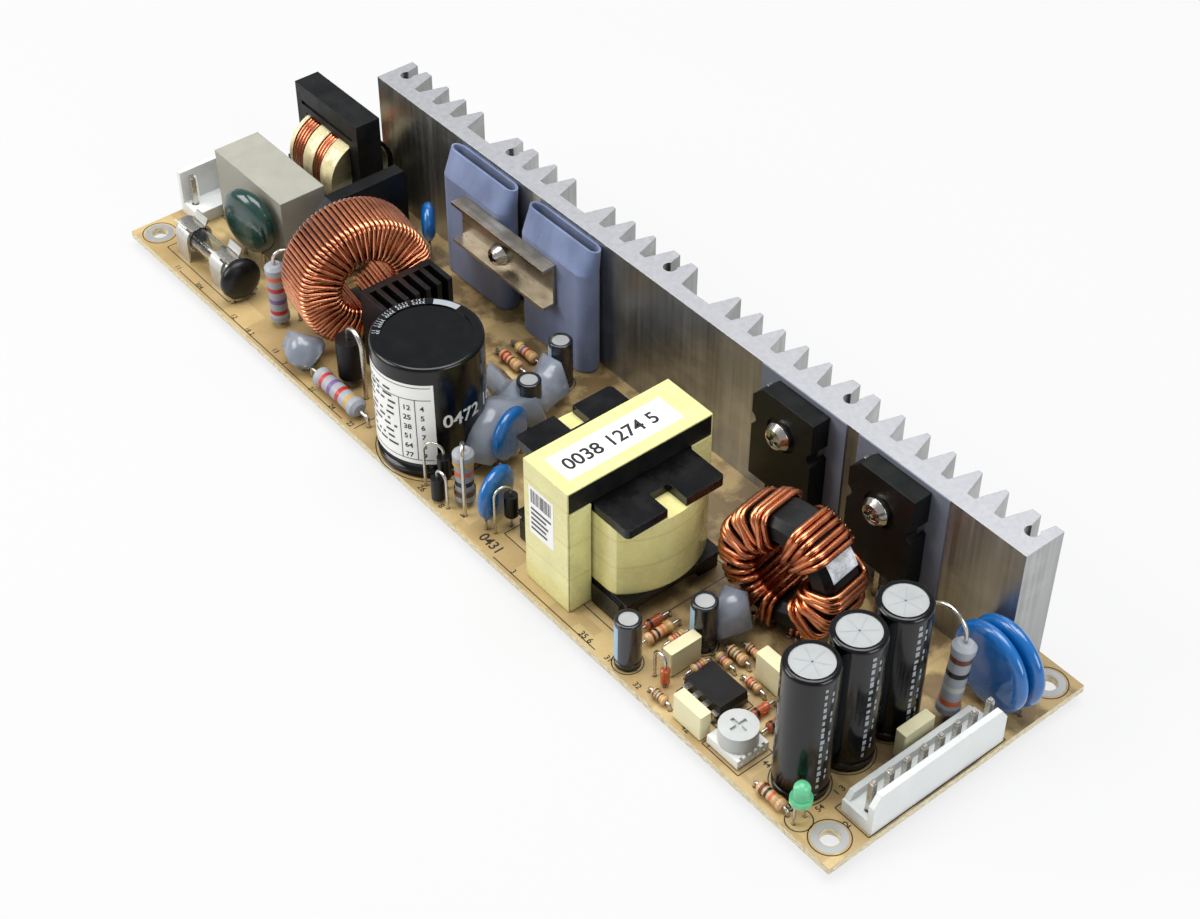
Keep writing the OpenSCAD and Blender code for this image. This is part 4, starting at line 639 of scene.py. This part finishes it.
CHOKE_STARTS = (14, 40, 66, 92, 135, 154, 196, 221, 246, 271, 296, 321, 345)


def choke_angle(f):
    """Each turn stays radial and steps on to the next one over the far face."""
    i = min(int(f), len(CHOKE_STARTS) - 2)
    t = min(1.0, max(0.0, (f - i - 0.16) / 0.3))
    t = t * t * (3 - 2 * t)
    return CHOKE_STARTS[i] + (CHOKE_STARTS[i + 1] - CHOKE_STARTS[i]) * t


choke_place = upright(middle("choke_core"), CHOKE["turn"])
rim = CHOKE["outer"] / 2 + AIR + CHOKE["wire"] / 2
half = CHOKE["thick"] / 2 + AIR + CHOKE["wire"] / 2
inner = CHOKE["bore"] / 2 - AIR - CHOKE["wire"] / 2
path = rounded_section(inner, rim, half, 2.4, 0.0, 6)
over = rounded_section(inner - CHOKE["wire"] * 0.8, rim + 0.12, half, 2.4, CHOKE["wire"] * 0.7, 6)
strands = []
for strand in (0, 1, 2):
    points = toroid_wire(choke_place, CHOKE["turns"], 0, 0, [over if strand == 1 else path], 0.35,
                         lambda f, s=strand: choke_angle(f) + s * 5.9)
    strands.append(down_to(points[0], board_z)[::-1] + points + down_to(points[-1], board_z))
tubes("choke_wires", strands, CHOKE["wire"] * 0.55 * MM, "choke_wire", "copper",
      ["choke_winding"])

# ------------------------------------------------------------------ line filter

low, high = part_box("filter_coils")
coil_mid = (Vector(low) + Vector(high)) / 2
coil_r = (high[2] - low[2]) / 2
WIRE = 0.9 * MM
coils = []
for x0, turns_side in ((-6.9, 4), (0.9, 3)):
    points = []
    steps = 40
    for i in range(turns_side * steps + 1):
        f = i / steps
        a = 2 * math.pi * f + 0.6
        x = coil_mid.x + x0 * MM + f * WIRE * 1.02
        r = coil_r - WIRE * 0.45
        points.append(Vector((x, coil_mid.y + r * math.cos(a), coil_mid.z + r * math.sin(a))))
    coils.append(points)
tubes("filter_wires", coils, WIRE / 2, "filter_wire", "copper", ["filter_coils"])

# Tape between and beside the copper, drawn tight over uneven wire below it
verts, faces = [], []
for k, (x0, x1, swell) in enumerate(((-8.2, -7.1, 0.0), (-3.0, 0.7, 0.1), (3.7, 8.2, 0.3))):
    rows, cols = 12, 64
    start = len(verts)
    for i in range(rows + 1):
        t = i / rows
        end = min(t, 1 - t) * (x1 - x0)
        edge = math.sqrt(max(0.0, 1 - (1 - min(1.0, end / 1.1)) ** 2))
        for j in range(cols):
            a = 2 * math.pi * j / cols
            seed = Vector((t * (x1 - x0) * 0.55 + k * 9, math.cos(a) * 3.4, math.sin(a) * 3.4))
            lump = noise.noise(seed) * (0.2 + swell) + 0.12 * noise.noise(seed * 2.3)
            r = coil_r + 0.15 * MM + 0.1 * edge * MM + (lump + swell * 0.5) * edge * MM
            if k == 2:      # the side at the heat sink is drawn in behind the ferrite
                r -= max(0.0, math.cos(a)) * (0.6 + 1.2 * (1 - edge)) * MM
            verts.append(Vector((coil_mid.x + (x0 + (x1 - x0) * t) * MM,
                                 coil_mid.y + r * math.cos(a), coil_mid.z + r * math.sin(a))))
    for i in range(rows):
        for j in range(cols):
            n = (j + 1) % cols
            faces.append((start + i * cols + j, start + i * cols + n,
                          start + (i + 1) * cols + n, start + (i + 1) * cols + j))
    for i, turn in ((0, 1), (rows, -1)):
        faces.append(tuple(start + i * cols + j for j in range(cols))[::turn])
mesh_piece("filter_wrap", verts, faces, "filter_tape", "yellow_tape", True, ["filter_tape"])

# ------------------------------------------------------------------ silicone

# Lumps as (x, y, height, radius) in millimetres; those that touch flow into each other
LUMPS = [
    (-50.2, -26.2, 2.2, 3.6), (-47.8, -26.4, 2.4, 3.6), (-50, -26.2, 4.8, 3.5),
    (-47.8, -26.4, 4.6, 3.4),
    (-1.2, -18.4, 4.6, 3.4), (-1.6, -15.6, 6.8, 3.9), (-3.2, -12.6, 8.8, 4.0),
    (-5.2, -10, 10.2, 3.2), (-1.6, -14.6, 2.6, 4.2),
    (-8.4, -4.2, 4.4, 3.6), (-4.6, -5.2, 6.2, 3.5), (-2, -3.4, 4.6, 3.4), (-7.4, 0.4, 4.2, 3.4),
    (-14.8, -2, 4, 3.4), (-16.2, -0.6, 6.2, 2.8), (-6.8, -1.8, 8, 2.7),
    (-5.6, 4.6, 4.6, 3.4), (-9.6, 5.8, 4, 3.6), (-11.2, 7.4, 5.6, 2.9), (-7.2, 6.6, 6.8, 2.6),
    (62.2, -9, 2.4, 4.2), (61.9, -8.9, 4.8, 4.0), (61.7, -8.8, 7.0, 3.4)
]
lump_data = bpy.data.metaballs.new("lump_source")
lump_data.resolution = 0.005        # the finest that Blender takes, so the lumps are coarse
lump_data.render_resolution = 0.005
for x, y, z, r in LUMPS:
    ball = lump_data.elements.new()
    ball.co = at(x, y, z)
    ball.radius = r / 0.575 * MM
lump_source = bpy.data.objects.new("lump_source", lump_data)
bpy.context.collection.objects.link(lump_source)
bpy.context.view_layer.update()
shape = lump_source.evaluated_get(bpy.context.evaluated_depsgraph_get()).to_mesh()
verts = [Vector(v.co) for v in shape.vertices]
faces = [tuple(f.vertices) for f in shape.polygons]
for v in verts:
    v.z = max(v.z, BOARD_TOP * MM)
    v += noise.noise_vector(v * 190) * 0.0004     # unseeded, so it differs a little each run
bpy.data.objects.remove(lump_source)
bpy.data.metaballs.remove(lump_data)
mesh_piece("silicone_lumps", verts, faces, "silicone", "silicone", True, ["silicone_beads"])

# ------------------------------------------------------------------ marks on the board

ink = Flat(lambda u, v: at(u, v, 0.02))
LINE = 0.22
for x, y in HOLES:
    ink.ring(x, y, 3.7, LINE)
ink.frame(-101, -27.8, -76, -20.6, LINE)
ink.frame(-103.2, -12.6, -76.3, -0.8, LINE)
ink.frame(-104, 6.6, -76.6, 17.6, LINE)
ink.frame(-71, -9.4, -65.2, 13.6, LINE)
ink.ring(-12.8, -19.8, 11.6, LINE)
for x, y in OUT_CANS:
    ink.ring(x, y, 5.4, LINE)
for x, y in SMALL_CANS:
    ink.ring(x, y, 2.9, LINE)
ink.frame(16.4, -24.8, 51.2, 1.6, LINE)
ink.frame(66.6, -25.4, 77.6, -17.2, LINE)
ink.frame(78.2, -29.6, 87.4, -21.6, LINE)
ink.frame(102.6, -21.6, 110.6, 11.2, LINE)
ink.line(-92, -30.2, -30, -30.2, LINE)
ink.line(20, -30.2, 50, -30.2, LINE)
ink.line(-26, -24, -26, -30, LINE)
ink.ring(100.7, -28, 2.4, LINE)
# Plain digits as (text, x, y, size, turn)
NUMBERS = [("0431", 14, -29.3, 3.0, 0), ("11", -94, -30.3, 1.6, 0), ("12", -72, -30.0, 1.6, 0),
           ("13", -57, -29.4, 1.6, 0), ("21", -42, -30.4, 1.6, 0), ("22", -28.4, -30.3, 1.6, 0),
           ("31", 52.4, -30.2, 1.6, 0), ("32", 60.4, -30.3, 1.6, 0), ("44", 87.8, -24.6, 1.6, 0),
           ("54", 101.6, -24.4, 1.6, 90), ("2", 107, -23, 2.0, 90), ("61", 94, -26.4, 1.6, 0),
           ("10", -100, 20.6, 1.8, 0), ("71", -60.6, 3.4, 1.6, 90), ("5", 12.4, -6.4, 1.8, 90),
           ("304", -86, -30.2, 1.6, 0), ("18 2", -66.4, -30.2, 1.6, 0), ("7", -52, -30.2, 1.6, 0),
           ("24", -35, -30.2, 1.6, 0), ("26", -4.4, -30.2, 1.8, 0), ("8", 2.4, -30.2, 1.8, 0),
           ("17", 8.2, -28.6, 1.8, 90), ("3", 25, -30.1, 1.6, 0), ("35 6", 45, -30.1, 1.8, 0),
           ("9", 69, -28.6, 1.8, 0), ("42", 73.2, -30.2, 1.8, 0), ("1", 79, -29.4, 1.6, 0),
           ("1 3", 101, -19.6, 1.8, 90), ("51", 97.2, -27.8, 1.8, 0), ("4", 76.4, -22.4, 1.6, 0),
           ("38", 66.4, -24.2, 1.6, 0), ("63", 82.6, -14.2, 1.6, 90), ("14", 30, 9, 2.0, 0),
           ("80", 8.4, 15.6, 1.8, 0), ("82", -2.2, 14.6, 1.8, 0), ("90", 40, 20, 1.8, 0)]
for text, x, y, size, turn in NUMBERS:
    ink.words(text, x, y, size, turn)
ink.piece("board_print", "ink", "board")

pads = Flat(lambda u, v: at(u, v, 0.015))
for x, y in HOLES:
    pads.ring(x, y, 2.55, 1.3)
pads.piece("hole_pads", "lid", "tinned")

# ------------------------------------------------------------------ cans

bulk_low, bulk_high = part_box("bulk_capacitor")
bulk = Vector(((bulk_low[0] + bulk_high[0]) / 2, (bulk_low[1] + bulk_high[1]) / 2, bulk_low[2]))
BULK_R = 11.0
label = Flat(on_can(bulk, BULK_R, 0.06))
label.quad(-16, 3.6, 11.4, 23.6, 40)
label.piece("bulk_label", "paper", "can_sleeve")
text = Flat(on_can(bulk, BULK_R, 0.1))
for row in range(10):
    v = 20.6 - row * 1.5
    u = -15.2
    while u < 3:
        w = random.uniform(0.6, 2.6)
        if random.random() < 0.75:
            text.quad(u, v, min(u + w, 3.6), v + 0.5, 3)
        u += w + random.uniform(0.4, 1.2)
for v in (4.6, 19.8, 22.8):
    text.quad(-15.6, v, 10.8, v + 0.15, 30)
for u in (4.4, 7.6):
    text.quad(u, 4.6, u + 0.15, 19.8, 1)
for row in range(6):
    text.words("%d" % (12 + row * 13), 5.1, 17.2 - row * 2.4, 1.7)
    text.words("%d" % (4 + row), 8.6, 17.2 - row * 2.4, 1.7)
text.piece("bulk_label_print", "black_ink", "can_sleeve")
side = Flat(on_can(bulk, BULK_R, 0.04))
side.words("0472 16", 12.8, 12.6, 4.2)
side.piece("bulk_side_print", "white_ink", "can_sleeve")
arc = Flat(on_plane((bulk.x, bulk.y, bulk_high[2]), (1, 0, 0), (0, 1, 0), 0.02))
arc.ring(0, 0, 9.5, 1.5, 104, 136, 18)
for i in range(22):
    a = 146 + i * 4.0
    if i % 5 != 4:
        arc.ring(0, 0, 9.2, 0.5, a, a + 2.8, 3)
        arc.ring(0, 0, 10.0, 0.5, a, a + random.uniform(1.2, 2.8), 3)
        arc.ring(0, 0, 9.6, 1.6, a, a + 0.8, 1)
arc.piece("bulk_top_print", "grey_ink", "can_sleeve")

for i in (1, 2, 3):
    low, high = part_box("output_capacitor_%d" % i)
    cx, cy = (low[0] + high[0]) / 2, (low[1] + high[1]) / 2
    top_z = high[2] - 0.25 * MM
    lid = Flat(on_plane((cx, cy, top_z), (1, 0, 0), (0, 1, 0), 0.02))
    lid.disc(0, 0, 3.88)
    lid.piece("can_lid_%d" % i, "lid", "can_sleeve")
    score = Flat(on_plane((cx, cy, top_z), (1, 0, 0), (0, 1, 0), 0.05))
    for a in (20, 80, 140):
        d = Vector((math.cos(math.radians(a + i * 17)), math.sin(math.radians(a + i * 17))))
        score.line(-d.x * 3.2, -d.y * 3.2, d.x * 3.2, d.y * 3.2, 0.22)
    score.piece("can_score_%d" % i, "grey_ink", "can_sleeve")
    mark = Flat(on_can(Vector((cx, cy, low[2])), 5.0, 0.03))
    for start in (-4.6, 6.4):
        for row in range(16):
            v = 3.4 + row * 1.6
            mark.quad(start, v, start + random.uniform(0.5, 0.8), v + random.uniform(0.7, 1.3), 1)
            if row % 3:
                mark.quad(start + 1.5, v, start + 1.9, v + 1.0, 1)
    mark.quad(12.2, 2.6, 14.6, 27.6, 4)
    mark.piece("can_print_%d" % i, "grey_ink", "can_sleeve")

small_low, small_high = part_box("small_capacitors")
for i, (x, y) in enumerate(SMALL_CANS):
    centre = Vector((x * MM, y * MM, small_low[2]))
    stripe = Flat(on_can(centre, 2.5, 0.03))
    stripe.quad(-1.6, 2.0, 0.2, 10.2, 4)
    stripe.piece("small_can_stripe_%d" % (i + 1), "pale_blue_ink", "small_can_sleeve")
    lid = Flat(on_plane((centre.x, centre.y, small_high[2] - 0.25 * MM), (1, 0, 0), (0, 1, 0)))
    lid.disc(0, 0, 1.78, 24)
    lid.piece("small_can_lid_%d" % (i + 1), "lid", "small_can_sleeve")

# ------------------------------------------------------------------ transformer labels

core_low, core_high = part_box("transformer_tape")
cx = (core_low[0] + core_high[0]) / 2
cy = (core_low[1] + core_high[1]) / 2
top_label = Flat(on_plane((cx, cy, core_high[2]), (0, 1, 0), (-1, 0, 0), 0.03))
top_label.quad(-14.2, -3.6, 12.2, 3.4)
top_label.piece("transformer_label", "paper", "yellow_tape")
top_text = Flat(on_plane((cx, cy, core_high[2]), (0, 1, 0), (-1, 0, 0), 0.06))
top_text.words("0038 1274 5", -12.6, -1.5, 4.2)
top_text.piece("transformer_label_print", "black_ink", "yellow_tape")
end_label = Flat(on_plane((cx, core_low[1], core_low[2]), (1, 0, 0), (0, 0, 1), 0.03))
end_label.quad(-4.8, 12.6, 2.2, 24.2)
end_label.piece("transformer_end_label", "paper", "yellow_tape")
end_text = Flat(on_plane((cx, core_low[1], core_low[2]), (1, 0, 0), (0, 0, 1), 0.06))
for i in range(18):
    end_text.quad(-4.2 + i * 0.33, 20.2, -4.2 + i * 0.33 + random.choice((0.1, 0.2)), 23.4)
for i in range(5):
    end_text.quad(-4.2, 18.6 - i * 1.2, 1.6 - random.uniform(0, 2), 19.1 - i * 1.2)
end_text.piece("transformer_end_print", "black_ink", "yellow_tape")

# ------------------------------------------------------------------ colour bands

BANDS = {}


def band(colour, centre, axis, radius, width, steps=24):
    """A painted ring round a body; centre in metres, radius and width in millimetres."""
    verts, faces = BANDS.setdefault(colour, ([], []))
    z = Vector(axis).normalized()
    x = z.orthogonal().normalized()
    y = z.cross(x)
    n = len(verts)
    for i in range(steps):
        a = 2 * math.pi * i / steps
        out = (x * math.cos(a) + y * math.sin(a)) * (radius + 0.03) * MM
        verts.append(centre + out - z * width / 2 * MM)
        verts.append(centre + out + z * width / 2 * MM)
    for i in range(steps):
        j = (i + 1) % steps
        faces.append((n + 2 * i, n + 2 * j, n + 2 * j + 1, n + 2 * i + 1))


def body_bands(base, axis, length, radius, waist, colours, width, first, gap):
    """Bands along one body: the first sits on its end cap, the others between the caps."""
    a = Vector(axis).normalized()
    for i, colour in enumerate(colours):
        s = first + i * gap
        cap = radius * 1.2
        r = waist if cap < s < length - cap else radius
        band(colour, base + a * s * MM, a, r, width)


lean = Vector((0, math.sin(math.radians(7)), math.cos(math.radians(7))))
POWER = [
    (at(-63, -23, 1), (0, 0, 1), 14.6, 2.1, ("red", "violet", "red", "orange")),
    (at(5, -25.4, 1), (0, 0, 1), 12.6, 2.1, ("brown", "black", "orange", "gold")),
    (at(100.8, 6.6, 2.2), lean, 16.2, 2.2, ("orange", "grey", "black", "brown")),
    (at(-41.8, -27.4, 2.4), (1, 0, 0), 14.4, 2.1, ("red", "violet", "red", "gold"))
]
for base, axis, length, radius, colours in POWER:
    body_bands(base, axis, length, radius, radius - 0.25, colours, 1.1, length * 0.2,
               length * 0.2)
SMALL_R = [
    (55, -19.5, 90, 6, 1.15), (57.8, -17.6, 90, 3.4, 0.9), (67.2, -14.8, 0, 3.4, 0.9),
    (68, -12.2, 0, 4.2, 1.1), (69, -9.2, 0, 3.4, 0.9), (74.8, -14.6, 0, 3.4, 0.9),
    (65.4, -19.2, 90, 3.4, 0.9), (66.4, -29, 0, 3.4, 0.9), (94.8, -28.9, 0, 6, 1.15),
    (-21.5, 6, 0, 6, 1.15), (-21.5, 10, 0, 6, 1.15)
]
SETS = [("brown", "black", "orange", "gold"), ("red", "red", "brown", "gold"),
        ("yellow", "violet", "red", "gold"), ("brown", "green", "brown", "gold")]
for i, (x, y, turn, length, radius) in enumerate(SMALL_R):
    axis = Vector((math.cos(math.radians(turn)), math.sin(math.radians(turn)), 0))
    base = at(x, y, radius + 0.3) - axis * length / 2 * MM
    body_bands(base, axis, length, radius, radius - 0.15, SETS[i % 4], length * 0.09,
               length * 0.2, length * 0.19)
GLASS = [(52.2, -18.4, 90), (79.8, -17.6, 90), (83.6, -17.5, 90)]
for x, y, turn in GLASS:
    axis = Vector((math.cos(math.radians(turn)), math.sin(math.radians(turn)), 0))
    body_bands(at(x, y, 1.2) - axis * 1.9 * MM, axis, 3.8, 0.9, 0.86, ("black",), 0.6, 0.9, 1)
for colour, (verts, faces) in BANDS.items():
    mesh_piece("bands_" + colour, verts, faces, "band_" + colour, "resistor_grey", True)

# ------------------------------------------------------------------ ceramic discs

def rounded_disc(verts, faces, centre, turn, d, t):
    """Dipped disc on edge: flat in the middle, with a full round rim."""
    spin = Matrix.Rotation(math.radians(turn), 3, "Z")
    profile = [(0.0, -t / 2)]
    for i in range(11):
        a = math.pi * (i / 10 - 0.5)
        profile.append((d / 2 - 1.5 * t / 2 + 1.5 * t / 2 * math.cos(a), t / 2 * math.sin(a)))
    profile.append((0.0, t / 2))
    cols = 48
    start = len(verts)
    for r, y in profile:
        for j in range(cols):
            a = 2 * math.pi * j / cols
            verts.append(centre + spin @ Vector((r * math.cos(a), y, r * math.sin(a))) * MM)
    for i in range(len(profile) - 1):
        for j in range(cols):
            n = (j + 1) % cols
            faces.append((start + i * cols + j, start + (i + 1) * cols + j,
                          start + (i + 1) * cols + n, start + i * cols + n))


# Discs as (x, y, height of the middle, diameter, thickness, turn)
DISCS = [(-60.5, 14, 10.5, 8.6, 3, -35), (1.9, -12.1, 8, 11.2, 2.8, 110),
         (12, -23.2, 6.6, 11.2, 2.8, 110), (102.6, 14.4, 9.7, 17.6, 2.8, -5),
         (103.5, 17.6, 9.7, 17.6, 2.8, -5)]
COATED = (
    ("ceramic_discs", DISCS, "blue", "ceramic_blue", "ceramic_capacitors"),
    ("varistor_disc", [(-84.5, -15.7, 10.85, 15.0, 4.6, 10)], "varistor", "varistor_green",
     "varistor"),
    ("thermistor_disc", [(-75.3, -24.6, 5.2, 9.4, 4.2, 90)], "thermistor", "thermistor_black",
     "thermistor")
)
for name, discs, mat, slot, node in COATED:
    verts, faces = [], []
    for x, y, z, d, t, turn in discs:
        rounded_disc(verts, faces, at(x, y, z), turn, d, t)
    mesh_piece(name, verts, faces, mat, slot, True, [node])

# ------------------------------------------------------------------ fuse wire and choke label

tubes("fuse_wire", [[at(-98, -23.8, 5.2), at(-79, -23.8, 5.2)]], 0.14 * MM, "tinned", "tinned")

foil = []
for i in range(9):
    a = math.radians(114 + i * 2.5)
    for z in (-3.4, 3.4):
        r = CHOKE["outer"] / 2 + 0.06
        foil.append(choke_place(r * math.cos(a), r * math.sin(a), z))
mesh_piece("choke_label", foil, [(2 * i, 2 * i + 1, 2 * i + 3, 2 * i + 2) for i in range(8)],
           "silver", "ferrite", True)

# ------------------------------------------------------------------ floor, light, camera

def floor_shader():
    s = Shader("floor_paper", 0.85)
    s.colour(s.mix(s.noise(6, 3), (0.86, 0.86, 0.86, 1), (0.88, 0.88, 0.88, 1)))
    s.bump(s.noise(400, 3), 0.05, 0.0002)
    glow = s.node("ShaderNodeEmission", Strength=1.0)
    glow.inputs["Color"].default_value = (0.9, 0.9, 0.9, 1)
    blend = s.tree.nodes.new("ShaderNodeMixShader")
    blend.inputs[0].default_value = 0.87
    s.link(s.bsdf.outputs[0], blend.inputs[1])
    s.link(glow.outputs[0], blend.inputs[2])
    s.link(blend.outputs[0], s.tree.nodes["Material Output"].inputs["Surface"])
    return s.mat


FLOOR = 6.0            # half the floor's side, in metres
data = bpy.data.meshes.new("floor")
data.from_pydata([(-FLOOR, -FLOOR, 0), (FLOOR, -FLOOR, 0), (FLOOR, FLOOR, 0),
                  (-FLOOR, FLOOR, 0)], [], [(0, 1, 2, 3)])
floor = bpy.data.objects.new("floor", data)
bpy.context.collection.objects.link(floor)
data.materials.append(floor_shader())
floor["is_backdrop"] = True

world = bpy.data.worlds.new("studio")
bpy.context.scene.world = world
world.use_nodes = True
sky = world.node_tree.nodes["Background"]
sky.inputs["Color"].default_value = (0.92, 0.95, 1.0, 1)
sky.inputs["Strength"].default_value = 0.36


def softbox(name, place, target, width, height, power, colour=(1, 1, 1)):
    data = bpy.data.lights.new(name, "AREA")
    data.shape = "RECTANGLE"
    data.size, data.size_y = width, height
    data.energy = power
    data.color = colour
    obj = bpy.data.objects.new(name, data)
    obj.location = place
    obj.rotation_mode = "QUATERNION"
    obj.rotation_quaternion = (Vector(target) - Vector(place)).to_track_quat("-Z", "Y")
    bpy.context.collection.objects.link(obj)


softbox("top_light", (-0.05, 0.05, 0.75), (0, 0, 0), 0.7, 0.5, 6.6)
softbox("left_light", (-0.45, -0.6, 0.5), (0, 0, 0.01), 0.5, 0.5, 5.2, (1.0, 0.98, 0.95))
softbox("right_light", (0.75, 0.1, 0.35), (0, 0, 0.01), 0.4, 0.4, 2.4, (0.95, 0.98, 1.0))

camera_data = bpy.data.cameras.new("camera")
camera_data.lens = 64.0
camera_data.sensor_width = 36.0
camera_data.clip_start, camera_data.clip_end = 0.01, 50
camera = bpy.data.objects.new("camera", camera_data)
bpy.context.collection.objects.link(camera)
azimuth, elevation, roll = (math.radians(v) for v in (50.61, 42.88, 0.07))
forward = Vector((-math.sin(azimuth) * math.cos(elevation),
                  math.cos(azimuth) * math.cos(elevation), -math.sin(elevation)))
camera.rotation_mode = "QUATERNION"
camera.rotation_quaternion = (forward.to_track_quat("-Z", "Y")
                              @ Matrix.Rotation(roll, 3, "Z").to_quaternion())
camera.location = at(248.4, -192.0, 284.1)
bpy.context.scene.camera = camera
bpy.context.scene.view_settings.view_transform = "Standard"

low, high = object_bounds()
